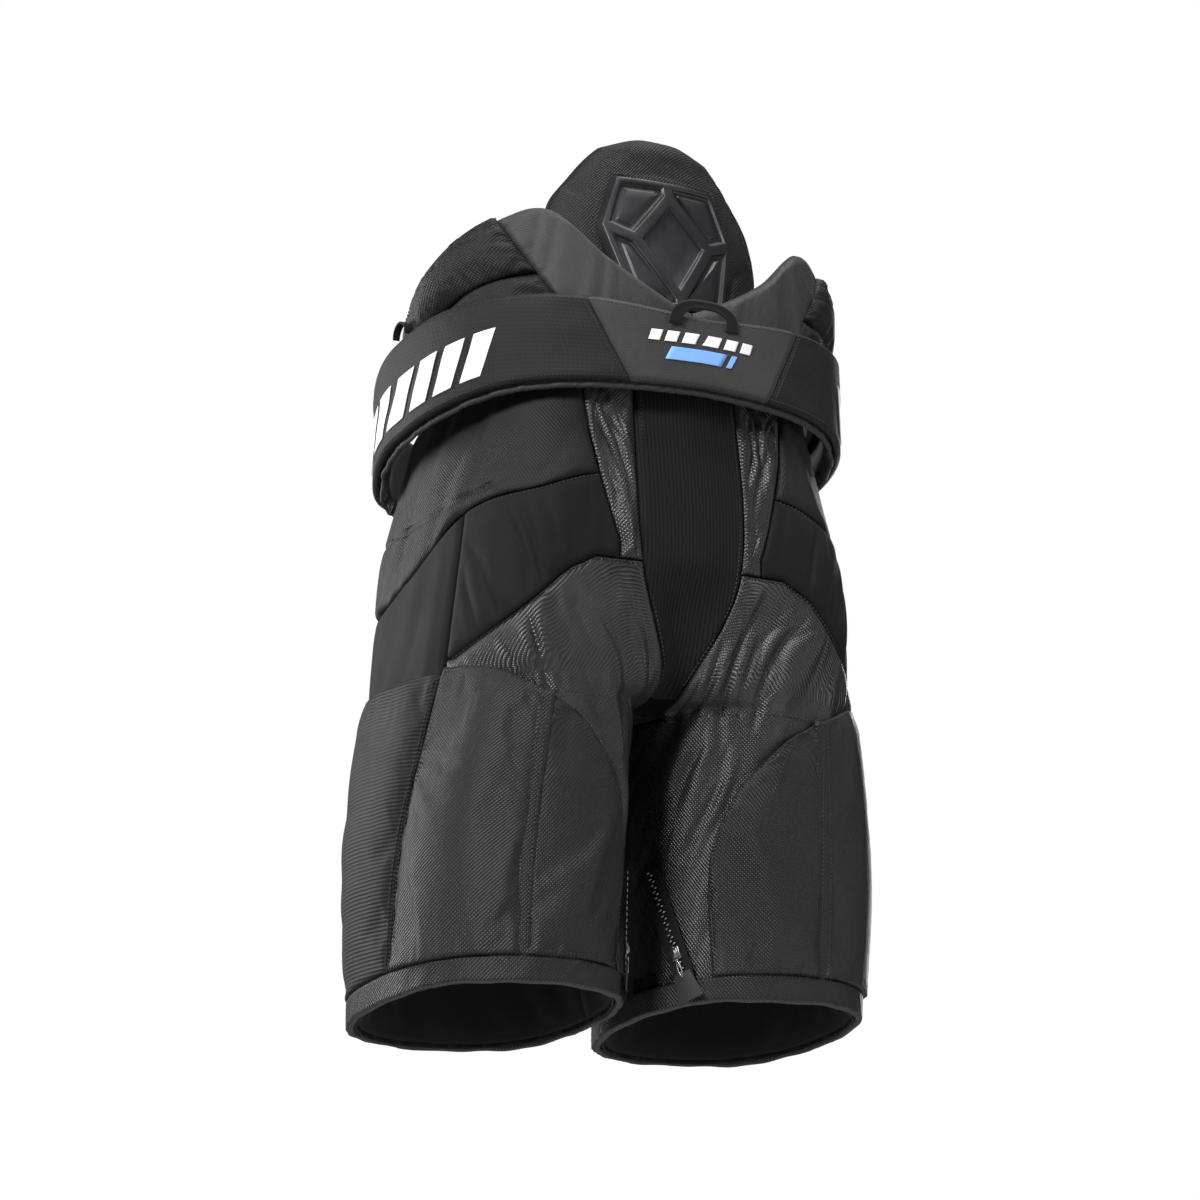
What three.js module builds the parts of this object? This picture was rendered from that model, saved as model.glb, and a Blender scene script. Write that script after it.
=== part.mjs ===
// Padded ice hockey pants: a waist girdle with belt and back guards, and two padded legs.
//
// Millimetres, +Z up.  The wearer faces +Y, their left is -X and their right is +X.
// Every soft layer follows one body surface.  section() gives that surface for the right half, and
// the left half is its mirror image.  Along it, "turn" runs round one half of the garment:
// 0 middle of the back (inside of the thigh below the crotch), 1 back of the leg, 2 outer side,
// 3 front of the leg, 4 middle of the front (inside of the thigh again).
// Heights run along the garment's own axis, which leans back from the flat hem by LEAN.

import * as THREE from 'three';
import { mergeVertices } from 'three/addons/utils/BufferGeometryUtils.js';

// ---- Heights along the garment's axis ----
const LEAN = THREE.MathUtils.degToRad(7.4); // the legs reach forward of the waist
const HEM = 14; // level of the hem at the middle of a leg
const CROTCH = 252;
const SEAT_RISE = 123; // from the crotch up to where both halves are one full oval
const WAIST_RISE = 236; // from the crotch up to the lower edge of the belt at the back
const LEG_TOP = CROTCH - 8; // the stiff leg ends here and the stretch zone begins
const FLEX_RISE = 90; // height of the stretch zone between leg and hip
const HEM_BAND = 19;

// ---- Half widths and depths of the body surface ----
const HEM_SIDE = 205;
const THIGH_SIDE = 206;
const CROTCH_SIDE = 193;
const HIP_SIDE = 178;
const WAIST_SIDE = 162;
const HEM_BACK = 107;
const THIGH_BACK = 116;
const CROTCH_BACK = 130;
const HIP_BACK = 137;
const WAIST_BACK = 126;
const HEM_FRONT = 108;
const CROTCH_FRONT = 120;
const WAIST_FRONT = 107;
const LEG_GAP = 9; // from the centre plane to the inside of the leg at the hem
const KNEE_GAP = 5;
const SEAT_FULLNESS = 9; // how far the middle of the seat stands behind the leg backs
const FLY_FULLNESS = 8;
const CORNER = 2 / 2.35; // exponent that squares the leg's oval a little
const HIP_CENTRE = 0.55; // where each half's oval turns at the hip, as a part of its width
const WAIST_CENTRE = 0.45;

// ---- Layers, measured inwards from the body surface ----
const CLEARANCE = 2;
const SHELL_DEPTH = 6;
const SHELL_CLOTH = 2.5;
const SHIELD_PLASTIC = 2;
const LINING_CLOTH = 2;
const PAD_PROUD = 3;
const SEAM_GAP = 0.012; // turn left open along each side of a seam
const EDGE_GAP = 2; // height left open along each side of a seam

// ---- Belt ----
const BELT_DIP = 56; // how far the lower edge dips at the sides of the front
const BELT_SIDE_STANDOFF = 18.5; // from the body surface at the dip out to the belt's face
const BELT_FRONT_STANDOFF = 33;
const BELT_BACK_STANDOFF = 26; // the same at the waist
const BELT_CLOTH = 6;
const BELT_LINING = 6;
const BELT_HEIGHT = 57; // at the middle of the back
const LABEL_TOP = 26; // degrees from the middle of the back to the label's edge
const LABEL_BOTTOM = 15;
const BELT_END = 156; // degrees from the middle of the back to the wing's front end
const STRAP_HEIGHT = 38;
const BUCKLE_WIDTH = 52;
const BUCKLE_HEIGHT = 46;
const BUCKLE_DEPTH = 5;

// ---- Guards above the belt ----
const KIDNEY_PAD = 12;
const COLLAR_CLOTH = 7;
const COLLAR_RISE = 139; // from the waist up to the highest point of the collar's lobes
const SPINE_RISE = 226; // from the waist up to the top of the spine pad
const SPINE_HALF_WIDTH = 95;
const SPINE_PAD = 15;
const SPINE_FOOT_Y = -118;
const SPINE_LEAN = 0.2; // forward run for each millimetre of height
const SPINE_BOW = 0.003; // how the pad bends round the back: y grows with x squared
const PLATE_DEPTH = 6.5;
const PLATE_HALF_WIDTH = 58;

// ---- Zip on the inside of each thigh ----
const ZIP_FOOT = new THREE.Vector3(27, -73, 44);
const ZIP_HEAD = new THREE.Vector3(10, -47, 131);
const ZIP_TAPE_WIDTH = 18;
const ZIP_TAPE_CLOTH = 1.5;
const SLIDER = { width: 8, depth: 3.5, height: 10 };
const PULL = { width: 4, depth: 1.4, height: 14 };
const TOUCH = 0.3; // gap between two pieces that touch

// ---- Where the garment stands ----
const ORIGIN_Y = 61.9; // from the axis at the hem to the middle of the overall depth

const WAIST = CROTCH + WAIST_RISE;
const HIP = CROTCH + SEAT_RISE;
const FLEX_TOP = LEG_TOP + FLEX_RISE;

const { lerp, clamp, smoothstep } = THREE.MathUtils;

// ---- Materials ----
const cloth = (color, roughness = 0.85) => ({ color, roughness, metalness: 0 });
const FINISH = {
  nylon: cloth(0x2b2c2e),
  satinMesh: cloth(0x303133, 0.5),
  twill: cloth(0x222325),
  knit: cloth(0x242527, 0.95),
  ribbed: cloth(0x262729),
  padWeave: cloth(0x333436, 0.6),
  smoothGrey: cloth(0x47484b, 0.75),
  lining: cloth(0x37383a, 0.9),
  webbing: cloth(0x1b1c1d, 0.8),
  foam: cloth(0x3c3d40, 0.95),
  plastic: cloth(0x17181a, 0.45),
  rubber: cloth(0x24262b, 0.6),
  metal: { color: 0x8f9296, roughness: 0.35, metalness: 1 },
};

// ---- Shaping tools ----

// A smooth curve through a few stations [place, value], level beyond both ends.
function profile(stations) {
  const slope = (i) => {
    const before = stations[Math.max(i - 1, 0)];
    const after = stations[Math.min(i + 1, stations.length - 1)];
    return (after[1] - before[1]) / (after[0] - before[0]);
  };
  return (place) => {
    const at = clamp(place, stations[0][0], stations.at(-1)[0]);
    const i = Math.max(stations.findIndex((station) => station[0] >= at) - 1, 0);
    const span = stations[i + 1][0] - stations[i][0];
    const t = (at - stations[i][0]) / span;
    const hold = (1 + 2 * t) * (1 - t) ** 2;
    const start = t * (1 - t) ** 2 * span * slope(i);
    const end = t * t * (t - 1) * span * slope(i + 1);
    return hold * stations[i][1] + (1 - hold) * stations[i + 1][1] + start + end;
  };
}

// Moves every corner of a closed geometry, joins shared corners and turns its faces outwards.
function warp(geometry, place) {
  const source = geometry.getAttribute('position');
  for (let i = 0; i < source.count; i += 1) {
    const moved = place(source.getX(i), source.getY(i), source.getZ(i));
    source.setXYZ(i, moved.x, moved.y, moved.z);
  }
  geometry.deleteAttribute('normal');
  geometry.deleteAttribute('uv');
  return faceOutwards(mergeVertices(geometry, 1e-3));
}

// Reverses the winding of a closed geometry whose faces point inwards.
function faceOutwards(geometry) {
  const corners = geometry.getAttribute('position');
  const order = geometry.getIndex();
  const [a, b, c] = [new THREE.Vector3(), new THREE.Vector3(), new THREE.Vector3()];
  let volume = 0;
  for (let i = 0; i < order.count; i += 3) {
    a.fromBufferAttribute(corners, order.getX(i));
    b.fromBufferAttribute(corners, order.getX(i + 1));
    c.fromBufferAttribute(corners, order.getX(i + 2));
    volume += a.dot(b.cross(c));
  }
  for (let i = 0; volume < 0 && i < order.count; i += 3) {
    const first = order.getX(i);
    order.setX(i, order.getX(i + 2));
    order.setX(i + 2, first);
  }
  geometry.computeVertexNormals();
  return geometry;
}

// A block whose width, thickness and height, each from 0 to 1, are placed by a function.
function block(columns, rows, place) {
  const unit = new THREE.BoxGeometry(1, 1, 1, columns, 1, rows);
  return warp(unit, (x, y, z) => place(x + 0.5, y + 0.5, z + 0.5));
}

// A closed band, placed by a function of how far round, how far out and how far up it is.
function band(segments, rows, place) {
  const wall = [];
  for (let i = 0; i <= rows; i += 1) wall.push(new THREE.Vector2(2, i / rows));
  for (let i = rows; i >= 0; i -= 1) wall.push(new THREE.Vector2(1, i / rows));
  wall.push(wall[0].clone());
  return warp(new THREE.LatheGeometry(wall, segments), (x, y, z) => {
    const round = (Math.atan2(x, z) / (2 * Math.PI) + 1) % 1;
    return place(round, Math.hypot(x, z) - 1, y);
  });
}

// ---- The body surface ----
const sideAt = profile([
  [HEM, HEM_SIDE],
  [CROTCH / 2, THIGH_SIDE],
  [CROTCH, CROTCH_SIDE],
  [HIP, HIP_SIDE],
  [WAIST, WAIST_SIDE],
]);
const backAt = profile([
  [HEM, HEM_BACK],
  [CROTCH / 2, THIGH_BACK],
  [CROTCH, CROTCH_BACK],
  [HIP, HIP_BACK],
  [WAIST, WAIST_BACK],
]);
const frontAt = profile([
  [HEM, HEM_FRONT],
  [CROTCH, CROTCH_FRONT],
  [HIP, CROTCH_FRONT],
  [WAIST, WAIST_FRONT],
]);
const gapAt = profile([
  [HEM, LEG_GAP],
  [CROTCH / 2, KNEE_GAP],
  [CROTCH, 1],
]);

// The oval's squareness fades and its corners draw in between the hip and the waist.
const cornerAt = profile([
  [HIP, CORNER],
  [WAIST, 1],
]);
const centreAt = profile([
  [HIP, HIP_CENTRE],
  [WAIST, WAIST_CENTRE],
]);

// Depth of the middle of the seat or fly, from nothing at the crotch to its full depth.
function middleDepth(z, full) {
  const below = clamp((HIP - z) / SEAT_RISE, 0, 1);
  return full * (1 - below ** 2.6) ** (1 / 2.6);
}

// How much of the hem's slope a level still has: all of it at the hem and none at the crotch.
const slopeAt = (z) => Math.tan(LEAN) * clamp((CROTCH - z) / (CROTCH - HEM), 0, 1);

// A point of the right half's surface.
function surfacePoint(turn, z) {
  const merged = smoothstep(z, CROTCH, HIP);
  const side = sideAt(z);
  const inside = z < CROTCH ? gapAt(z) : 0;
  const legCentre = (sideAt(Math.min(z, CROTCH)) + gapAt(z)) / 2;
  const centre = lerp(legCentre, side * centreAt(z), merged);
  const corner = cornerAt(z);
  const isBack = turn < 2;
  const depth = isBack ? backAt(z) : frontAt(z);
  const middle = middleDepth(z, depth + (isBack ? SEAT_FULLNESS : FLY_FULLNESS));
  const crown = middle > depth ? 1 : merged;
  const fromMiddle = isBack ? turn : 4 - turn;
  const angle = (fromMiddle % 1) * (Math.PI / 2);
  let x = side;
  let y = 0;
  if (fromMiddle < 1) {
    x = centre - (centre - inside) * Math.cos(angle) ** corner;
    y = middle + (depth - middle) * lerp(Math.sin(angle) ** corner, Math.sin(angle) ** 4, crown);
  } else if (fromMiddle < 2) {
    x = centre + (side - centre) * Math.sin(angle) ** corner;
    y = depth * Math.cos(angle) ** corner;
  }
  if (isBack) y = -y;
  return new THREE.Vector3(x, y, z - y * slopeAt(z));
}

// The surface moved outwards, along its own level.
function section(turn, z, out) {
  const step = 0.01;
  const atMiddle = turn < step || turn > 4 - step;
  let along = surfacePoint(Math.min(turn + step, 4), z).sub(surfacePoint(Math.max(turn - step, 0), z));
  if (atMiddle) along = z < CROTCH ? new THREE.Vector3(0, -1, 0) : new THREE.Vector3(turn < 2 ? 1 : -1, 0, 0);
  const scale = out / Math.hypot(along.x, along.y);
  const point = surfacePoint(turn, z);
  point.x += along.y * scale;
  point.y -= along.x * scale;
  point.z += along.x * scale * slopeAt(z);
  return point;
}

// A layer's inner and outer distance from the body surface.
const under = (depth, thickness) => ({ inner: -depth - thickness, outer: -depth });
const SHELL = under(SHELL_DEPTH, SHELL_CLOTH);
const SHIELD = under(SHELL_DEPTH + SHELL_CLOTH + CLEARANCE, SHIELD_PLASTIC);
const LINING = under(-SHIELD.inner + CLEARANCE + 1, LINING_CLOTH);
const PAD = { inner: -SHELL_DEPTH + CLEARANCE, outer: PAD_PROUD };

// A panel of one layer.  Its side edges are turns that may change with height, and its lower and
// upper edges are heights that may change with turn.
function panel(layer, edges, columns, rows) {
  const value = (edge, at) => (typeof edge === 'function' ? edge(at) : edge);
  return block(columns, rows, (u, w, v) => {
    let turn = lerp(value(edges.from, 0), value(edges.to, 0), u);
    let z = 0;
    for (let i = 0; i < 6; i += 1) {
      z = lerp(value(edges.low, turn), value(edges.high, turn), v);
      turn = lerp(value(edges.from, z) + SEAM_GAP, value(edges.to, z) - SEAM_GAP, u);
    }
    return section(turn, z, lerp(layer.inner, layer.outer, w));
  });
}

// A panel across the middle of the back or the front, as wide on the left as on the right.
function middlePanel(layer, edges, columns, rows) {
  return block(columns, rows, (u, w, v) => {
    const z = lerp(edges.low, edges.high, v);
    const reach = edges.reach(z) - SEAM_GAP;
    const across = (2 * u - 1) * reach;
    const turn = edges.front ? 4 - Math.abs(across) : Math.abs(across);
    const point = section(turn, z, lerp(layer.inner, layer.outer, w));
    point.x *= Math.sign(across) || 0;
    return point;
  });
}

// ---- Seams shared by neighbouring panels ----
const seatReach = profile([
  [CROTCH + 10, 0.24],
  [CROTCH + 48, 0.5],
  [CROTCH + 95, 0.66],
  [WAIST, 0.76],
]);
const flyReach = () => 0.4;
const gatherReach = profile([
  [HIP - 12, 0.8],
  [WAIST, 1.12],
]);
const stretchLow = profile([
  [0.78, HIP - 13],
  [0.95, HIP - 28],
  [1.24, HIP - 65],
  [1.64, CROTCH + 20],
]);
const hipLow = profile([
  [0.78, HIP + 46],
  [0.95, HIP + 40],
  [1.24, HIP + 26],
  [1.69, HIP + 12],
  [2.1, FLEX_TOP + 4],
  [2.5, FLEX_TOP],
  [4, FLEX_TOP],
]);
const PAD_SEAM = 1.12;
const PAD_SIDE_TOP = 1.69;
const GUARD_SEAM = 2.8;
const FRONT_SEAM = 3.6;
const padSide = profile([
  [HEM, 1.87],
  [CROTCH / 2, 1.81],
  [CROTCH - 50, 1.74],
  [CROTCH + 16, PAD_SIDE_TOP],
]);
const padInside = profile([
  [HEM, 0.58],
  [CROTCH / 2, 0.55],
  [CROTCH - 74, 0.68],
  [CROTCH - 41, 0.87],
  [CROTCH - 21, 1.02],
]);
const padTop = profile([
  [PAD_SEAM, CROTCH - 8],
  [1.4, CROTCH + 9],
  [PAD_SIDE_TOP, CROTCH + 14],
]);
const waistTop = profile([
  [0, WAIST + 17],
  [1.5, WAIST + 8],
  [2.2, WAIST - 12],
  [3, WAIST - 34],
  [4, WAIST - 26],
]);

// ---- The belt's oval ----
const BELT_SIDE = sideAt(WAIST - BELT_DIP) + BELT_SIDE_STANDOFF;
const BELT_BACK = WAIST_BACK + BELT_BACK_STANDOFF;
const BELT_FRONT = frontAt(WAIST - BELT_DIP) + BELT_FRONT_STANDOFF;
const beltLow = profile([
  [0, WAIST],
  [45, WAIST - 6],
  [70, WAIST - 18],
  [95, WAIST - 33],
  [121, WAIST - BELT_DIP],
  [150, WAIST - 50],
  [180, WAIST - 42],
]);
const beltHigh = profile([
  [0, WAIST + BELT_HEIGHT],
  [32, WAIST + BELT_HEIGHT + 8],
  [70, WAIST + BELT_HEIGHT + 4],
  [95, WAIST + BELT_HEIGHT - 10],
  [121, WAIST + BELT_HEIGHT - 37],
  [150, WAIST + BELT_HEIGHT - 48],
  [180, WAIST + BELT_HEIGHT - 53],
]);

// A point of an oval round the waist, a depth inside the belt's face.
function ovalPoint(degrees, z, depth) {
  const angle = THREE.MathUtils.degToRad(degrees);
  const reach = Math.cos(angle) > 0 ? BELT_BACK : BELT_FRONT;
  const squared = (value) => Math.sign(value) * Math.abs(value) ** CORNER;
  const x = (BELT_SIDE - depth) * squared(Math.sin(angle));
  return new THREE.Vector3(x, -(reach - depth) * squared(Math.cos(angle)), z);
}

// A piece of the oval between two edges in degrees and two in height, which may both change.
function ovalPanel(depth, thickness, edges, columns, rows) {
  return block(columns, rows, (u, w, v) => {
    const start = lerp(edges.from[0], edges.from[1], v);
    const end = lerp(edges.to[0], edges.to[1], v);
    const degrees = lerp(start, end, u);
    const place = Math.abs(degrees);
    const z = lerp(edges.low(place), edges.high(place), v);
    return ovalPoint(degrees, z, depth + thickness * (1 - w));
  });
}

// ---- The guards above the belt ----
const GUARD_DEPTH = BELT_CLOTH + BELT_LINING + CLEARANCE * 2;
const turnAt = profile([[0, 0], [27, 1], [90, 2], [150, 3], [180, 4]]);
const guardLow = (degrees) => waistTop(turnAt(degrees)) + EDGE_GAP * 3;
const kidneyHigh = profile([
  [18, WAIST + 100],
  [38, WAIST + COLLAR_RISE],
  [57, WAIST + COLLAR_RISE - 14],
  [72, WAIST + COLLAR_RISE - 36],
  [85, WAIST + COLLAR_RISE - 62],
  [95, WAIST + COLLAR_RISE - 88],
]);
const kidneyGroove = profile([
  [18, WAIST + 92],
  [57, WAIST + 80],
  [95, WAIST + 36],
]);
const collarHigh = profile([
  [0, WAIST + BELT_HEIGHT + 9],
  [20, WAIST + 102],
  [38, WAIST + COLLAR_RISE],
  [57, WAIST + COLLAR_RISE - 14],
]);
const COLLAR_FOOT = WAIST + 24;
const COLLAR_SEAM = [22, 56]; // degrees at the foot and at the top
const KIDNEY_END = [104, 93];

function kidneyPanel(low, high) {
  const share = (z) => clamp((z - COLLAR_FOOT) / (kidneyHigh(COLLAR_SEAM[1]) - COLLAR_FOOT), 0, 1);
  return block(8, 3, (u, w, v) => {
    let degrees = 60;
    let z = WAIST;
    for (let i = 0; i < 8; i += 1) {
      z = lerp(low(degrees), high(degrees), v);
      const start = lerp(COLLAR_SEAM[0], COLLAR_SEAM[1], share(z)) + 1.5;
      degrees = lerp(start, lerp(KIDNEY_END[0], KIDNEY_END[1], share(z)), u);
    }
    return ovalPoint(degrees, z, GUARD_DEPTH + KIDNEY_PAD * (1 - w));
  });
}

const spineHalfWidth = profile([
  [WAIST + 22, SPINE_HALF_WIDTH - 25],
  [WAIST + 72, SPINE_HALF_WIDTH - 3],
  [WAIST + 132, SPINE_HALF_WIDTH],
  [WAIST + 162, SPINE_HALF_WIDTH - 5],
  [WAIST + 184, SPINE_HALF_WIDTH - 20],
  [WAIST + 206, SPINE_HALF_WIDTH - 38],
  [WAIST + SPINE_RISE, SPINE_HALF_WIDTH - 61],
]);
const plateHalfWidth = profile([
  [WAIST + 73, PLATE_HALF_WIDTH - 18],
  [WAIST + 141, PLATE_HALF_WIDTH],
  [WAIST + 184, PLATE_HALF_WIDTH - 15],
]);

// A plate that follows the spine pad's bowed and leaning face, a depth behind that face.
function spinePlate(halfWidth, low, high, depth, thickness, columns, rows) {
  return block(columns, rows, (u, w, v) => {
    const z = lerp(low, high, v);
    const x = (2 * u - 1) * halfWidth(z);
    const face = SPINE_FOOT_Y + (z - WAIST - 52) * SPINE_LEAN + SPINE_BOW * x * x;
    return new THREE.Vector3(x, face + depth + thickness * w, z);
  });
}

// ---- The zip's own frame: along it, out of the thigh and across it ----
const zipAlong = ZIP_HEAD.clone().sub(ZIP_FOOT).normalize();
const zipOut = new THREE.Vector3(-0.9, -0.436, 0).normalize();
zipOut.addScaledVector(zipAlong, -zipOut.dot(zipAlong)).normalize();
const zipAcross = zipAlong.clone().cross(zipOut);
const zipLength = ZIP_HEAD.distanceTo(ZIP_FOOT);

// A box beside the zip, from one height along it to another and one distance out to another.
function zipBox(width, from, to, inner, outer) {
  const box = new THREE.BoxGeometry(width, outer - inner, to - from);
  return warp(box, (x, y, z) => ZIP_FOOT.clone()
    .addScaledVector(zipAcross, x)
    .addScaledVector(zipOut, y + (inner + outer) / 2)
    .addScaledVector(zipAlong, z + (from + to) / 2));
}

// ---- Assembly ----
const garment = new THREE.Group();
garment.rotation.x = LEAN;
garment.position.set(0, ORIGIN_Y, -HEM * Math.cos(LEAN));

function add(name, finish, geometry) {
  const mesh = new THREE.Mesh(geometry, new THREE.MeshStandardMaterial(finish));
  mesh.name = name;
  garment.add(mesh);
}

// Adds a right-hand piece and its mirror image on the left.
function addPair(name, finish, geometry) {
  const mirrored = warp(geometry.clone(), (x, y, z) => new THREE.Vector3(-x, y, z));
  add(`${name}_right`, finish, geometry);
  add(`${name}_left`, finish, mirrored);
}

function buildLegs() {
  const legBand = (layer, low, high, rows) => band(32, rows, (round, out, up) => (
    section(round * 4, lerp(low, high, up), lerp(layer.inner, layer.outer, out))));
  const padFoot = HEM + HEM_BAND + EDGE_GAP;
  addPair('leg_shell', FINISH.satinMesh, legBand(SHELL, padFoot, LEG_TOP, 5));
  addPair('leg_lining', FINISH.lining, legBand(LINING, HEM + 3, LEG_TOP - 2, 5));
  const hemLayer = { inner: SHELL.inner - 1, outer: -CLEARANCE };
  addPair('hem_band', FINISH.twill, legBand(hemLayer, HEM, HEM + HEM_BAND, 1));
  const outer = { from: PAD_SEAM, to: padSide, low: padFoot, high: padTop };
  addPair('thigh_pad_outer', FINISH.padWeave, panel(PAD, outer, 6, 6));
  const inner = { from: padInside, to: PAD_SEAM, low: padFoot, high: CROTCH - 14 };
  addPair('thigh_pad_inner', FINISH.padWeave, panel(PAD, inner, 6, 8));
  const side = { from: padSide, to: GUARD_SEAM, low: padFoot, high: CROTCH + 14 };
  addPair('side_guard', FINISH.ribbed, panel(PAD, side, 8, 6));
  const front = { from: GUARD_SEAM, to: FRONT_SEAM, low: padFoot, high: CROTCH - 4 };
  addPair('front_guard', FINISH.padWeave, panel(PAD, front, 8, 6));
  const shield = { from: 2, to: 3.4, low: HEM + 46, high: LEG_TOP - 16 };
  addPair('thigh_shield', FINISH.plastic, panel(SHIELD, shield, 10, 4));
}

function buildStretchZone() {
  const below = (turn) => Math.min(stretchLow(turn), FLEX_TOP) - EDGE_GAP;
  const foot = LEG_TOP + EDGE_GAP * 2.5;
  const thigh = { from: (z) => seatReach(z) + 0.03, to: PAD_SIDE_TOP, low: foot, high: below };
  addPair('inner_thigh_panel', FINISH.satinMesh, panel(SHELL, thigh, 10, 4));
  const flank = {
    from: PAD_SIDE_TOP,
    to: 4 - flyReach(),
    low: foot,
    high: (turn) => hipLow(turn) - EDGE_GAP,
  };
  addPair('side_flex_panel', FINISH.twill, panel(SHELL, flank, 14, 3));
  const stretch = {
    from: (z) => Math.max(gatherReach(z), 0.8),
    to: PAD_SIDE_TOP,
    low: (turn) => Math.min(stretchLow(turn), FLEX_TOP) + EDGE_GAP,
    high: (turn) => hipLow(turn) - EDGE_GAP,
  };
  addPair('stretch_panel', FINISH.twill, panel(SHELL, stretch, 8, 3));
}

function buildHips() {
  const hip = {
    from: (z) => gatherReach(z),
    to: 4 - flyReach(),
    low: (turn) => hipLow(turn) + EDGE_GAP,
    high: waistTop,
  };
  addPair('hip_panel', FINISH.nylon, panel(SHELL, hip, 20, 4));
  const gather = { from: seatReach, to: gatherReach, low: FLEX_TOP + EDGE_GAP, high: WAIST + 12 };
  addPair('gather_panel', FINISH.satinMesh, panel(SHELL, gather, 3, 4));
  const seat = { reach: seatReach, low: CROTCH + 8, high: WAIST + 14 };
  add('seat_panel', FINISH.knit, middlePanel(SHELL, seat, 12, 10));
  const fly = { reach: flyReach, low: CROTCH + 8, high: WAIST - 28, front: true };
  add('fly_panel', FINISH.nylon, middlePanel(SHELL, fly, 8, 9));
  const tail = { reach: () => 0.55, low: HIP + 8, high: WAIST - 14 };
  add('tailbone_guard', FINISH.plastic, middlePanel(SHIELD, tail, 8, 3));
  const guard = { from: 1.75, to: 2.6, low: HIP, high: WAIST - 36 };
  addPair('hip_guard', FINISH.plastic, panel(SHIELD, guard, 6, 3));
  add('crotch_gusset', FINISH.knit, block(4, 8, (u, w, v) => {
    const y = lerp(-56, 56, v);
    const half = lerp(26, 12, Math.abs(2 * v - 1) ** 2);
    return new THREE.Vector3((2 * u - 1) * half, y, LEG_TOP + 2.5 + SHELL_CLOTH * w);
  }));
}

function buildBelt() {
  const label = {
    from: [-LABEL_BOTTOM, -LABEL_TOP],
    to: [LABEL_BOTTOM, LABEL_TOP],
    low: beltLow,
    high: beltHigh,
  };
  add('belt_label_panel', FINISH.smoothGrey, ovalPanel(0, BELT_CLOTH, label, 8, 2));
  const wing = {
    from: [LABEL_BOTTOM + 0.4, LABEL_TOP + 0.4],
    to: [BELT_END, BELT_END],
    low: beltLow,
    high: beltHigh,
  };
  addPair('belt_wing', FINISH.nylon, ovalPanel(0, BELT_CLOTH, wing, 20, 2));
  const liner = {
    from: [1, 1],
    to: [BELT_END, BELT_END],
    low: (degrees) => beltLow(degrees) - 4,
    high: (degrees) => beltHigh(degrees) - 6,
  };
  const linerDepth = BELT_CLOTH + CLEARANCE;
  addPair('belt_lining', FINISH.smoothGrey, ovalPanel(linerDepth, BELT_LINING, liner, 20, 2));
  const strapMiddle = (beltLow(180) + beltHigh(180)) / 2;
  const strap = {
    from: [BELT_END + 1, BELT_END + 1],
    to: [360 - BELT_END - 1, 360 - BELT_END - 1],
    low: () => strapMiddle - STRAP_HEIGHT / 2,
    high: () => strapMiddle + STRAP_HEIGHT / 2,
  };
  add('belt_strap', FINISH.webbing, ovalPanel(2, 2, strap, 8, 1));
  buildBuckle(strapMiddle);
  const top = WAIST + BELT_HEIGHT;
  const face = -BELT_BACK - TOUCH;
  add('hanger_loop', FINISH.webbing, block(1, 14, (u, w, v) => {
    const angle = Math.PI * v;
    const across = (2 * w - 1) * lerp(7.5, 3.5, Math.sin(angle));
    const x = -Math.cos(angle) * (28 + across);
    const z = top - 6 + Math.sin(angle) * (22 + across);
    return new THREE.Vector3(x, face - 6 * Math.sin(angle) - 2.4 * u, z);
  }));
  addPair('suspender_loop', FINISH.webbing, block(2, 6, (u, w, v) => {
    const angle = lerp(0, Math.PI, v);
    const radius = lerp(9, 11, w);
    const lift = beltHigh(84) + 2 + Math.sin(angle) * radius;
    const x = BELT_SIDE - BELT_CLOTH / 2 + (u - 0.5) * 5;
    return new THREE.Vector3(x, Math.cos(angle) * radius - 4, lift);
  }));
}

function buildBuckle(middle) {
  const y = BELT_FRONT + TOUCH * 2;
  const frame = new THREE.BoxGeometry(BUCKLE_WIDTH, BUCKLE_DEPTH, BUCKLE_HEIGHT);
  add('buckle_frame', FINISH.plastic, frame.translate(0, y + BUCKLE_DEPTH / 2, middle));
  const lever = new THREE.BoxGeometry(BUCKLE_WIDTH - 14, BUCKLE_DEPTH - 1, BUCKLE_HEIGHT - 12);
  const leverY = y + BUCKLE_DEPTH + TOUCH * 2 + (BUCKLE_DEPTH - 1) / 2;
  add('buckle_lever', FINISH.plastic, lever.translate(0, leverY, middle));
}

function buildBackGuards() {
  const seamHalf = 2;
  addPair('kidney_pad_lower', FINISH.nylon, kidneyPanel(guardLow, (at) => kidneyGroove(at) - seamHalf));
  addPair('kidney_pad_upper', FINISH.nylon, kidneyPanel((at) => kidneyGroove(at) + seamHalf, kidneyHigh));
  const collar = { low: () => COLLAR_FOOT, high: collarHigh, from: [0.3, 0.3], to: COLLAR_SEAM };
  addPair('collar', FINISH.smoothGrey, ovalPanel(GUARD_DEPTH, COLLAR_CLOTH, collar, 8, 5));
  const foot = WAIST + 26;
  add('spine_pad', FINISH.nylon,
    spinePlate(spineHalfWidth, foot, WAIST + SPINE_RISE, 0, SPINE_PAD, 10, 10));
  const plateTop = WAIST + 184;
  add('spine_plate', FINISH.rubber,
    spinePlate(plateHalfWidth, WAIST + 73, plateTop, -PLATE_DEPTH - 1, PLATE_DEPTH, 8, 6));
  const inset = (z) => spineHalfWidth(z) - 16;
  add('spine_stiffener', FINISH.plastic,
    spinePlate(inset, foot + 12, WAIST + SPINE_RISE - 18, SPINE_PAD + 1.2, SHIELD_PLASTIC, 10, 8));
}

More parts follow.
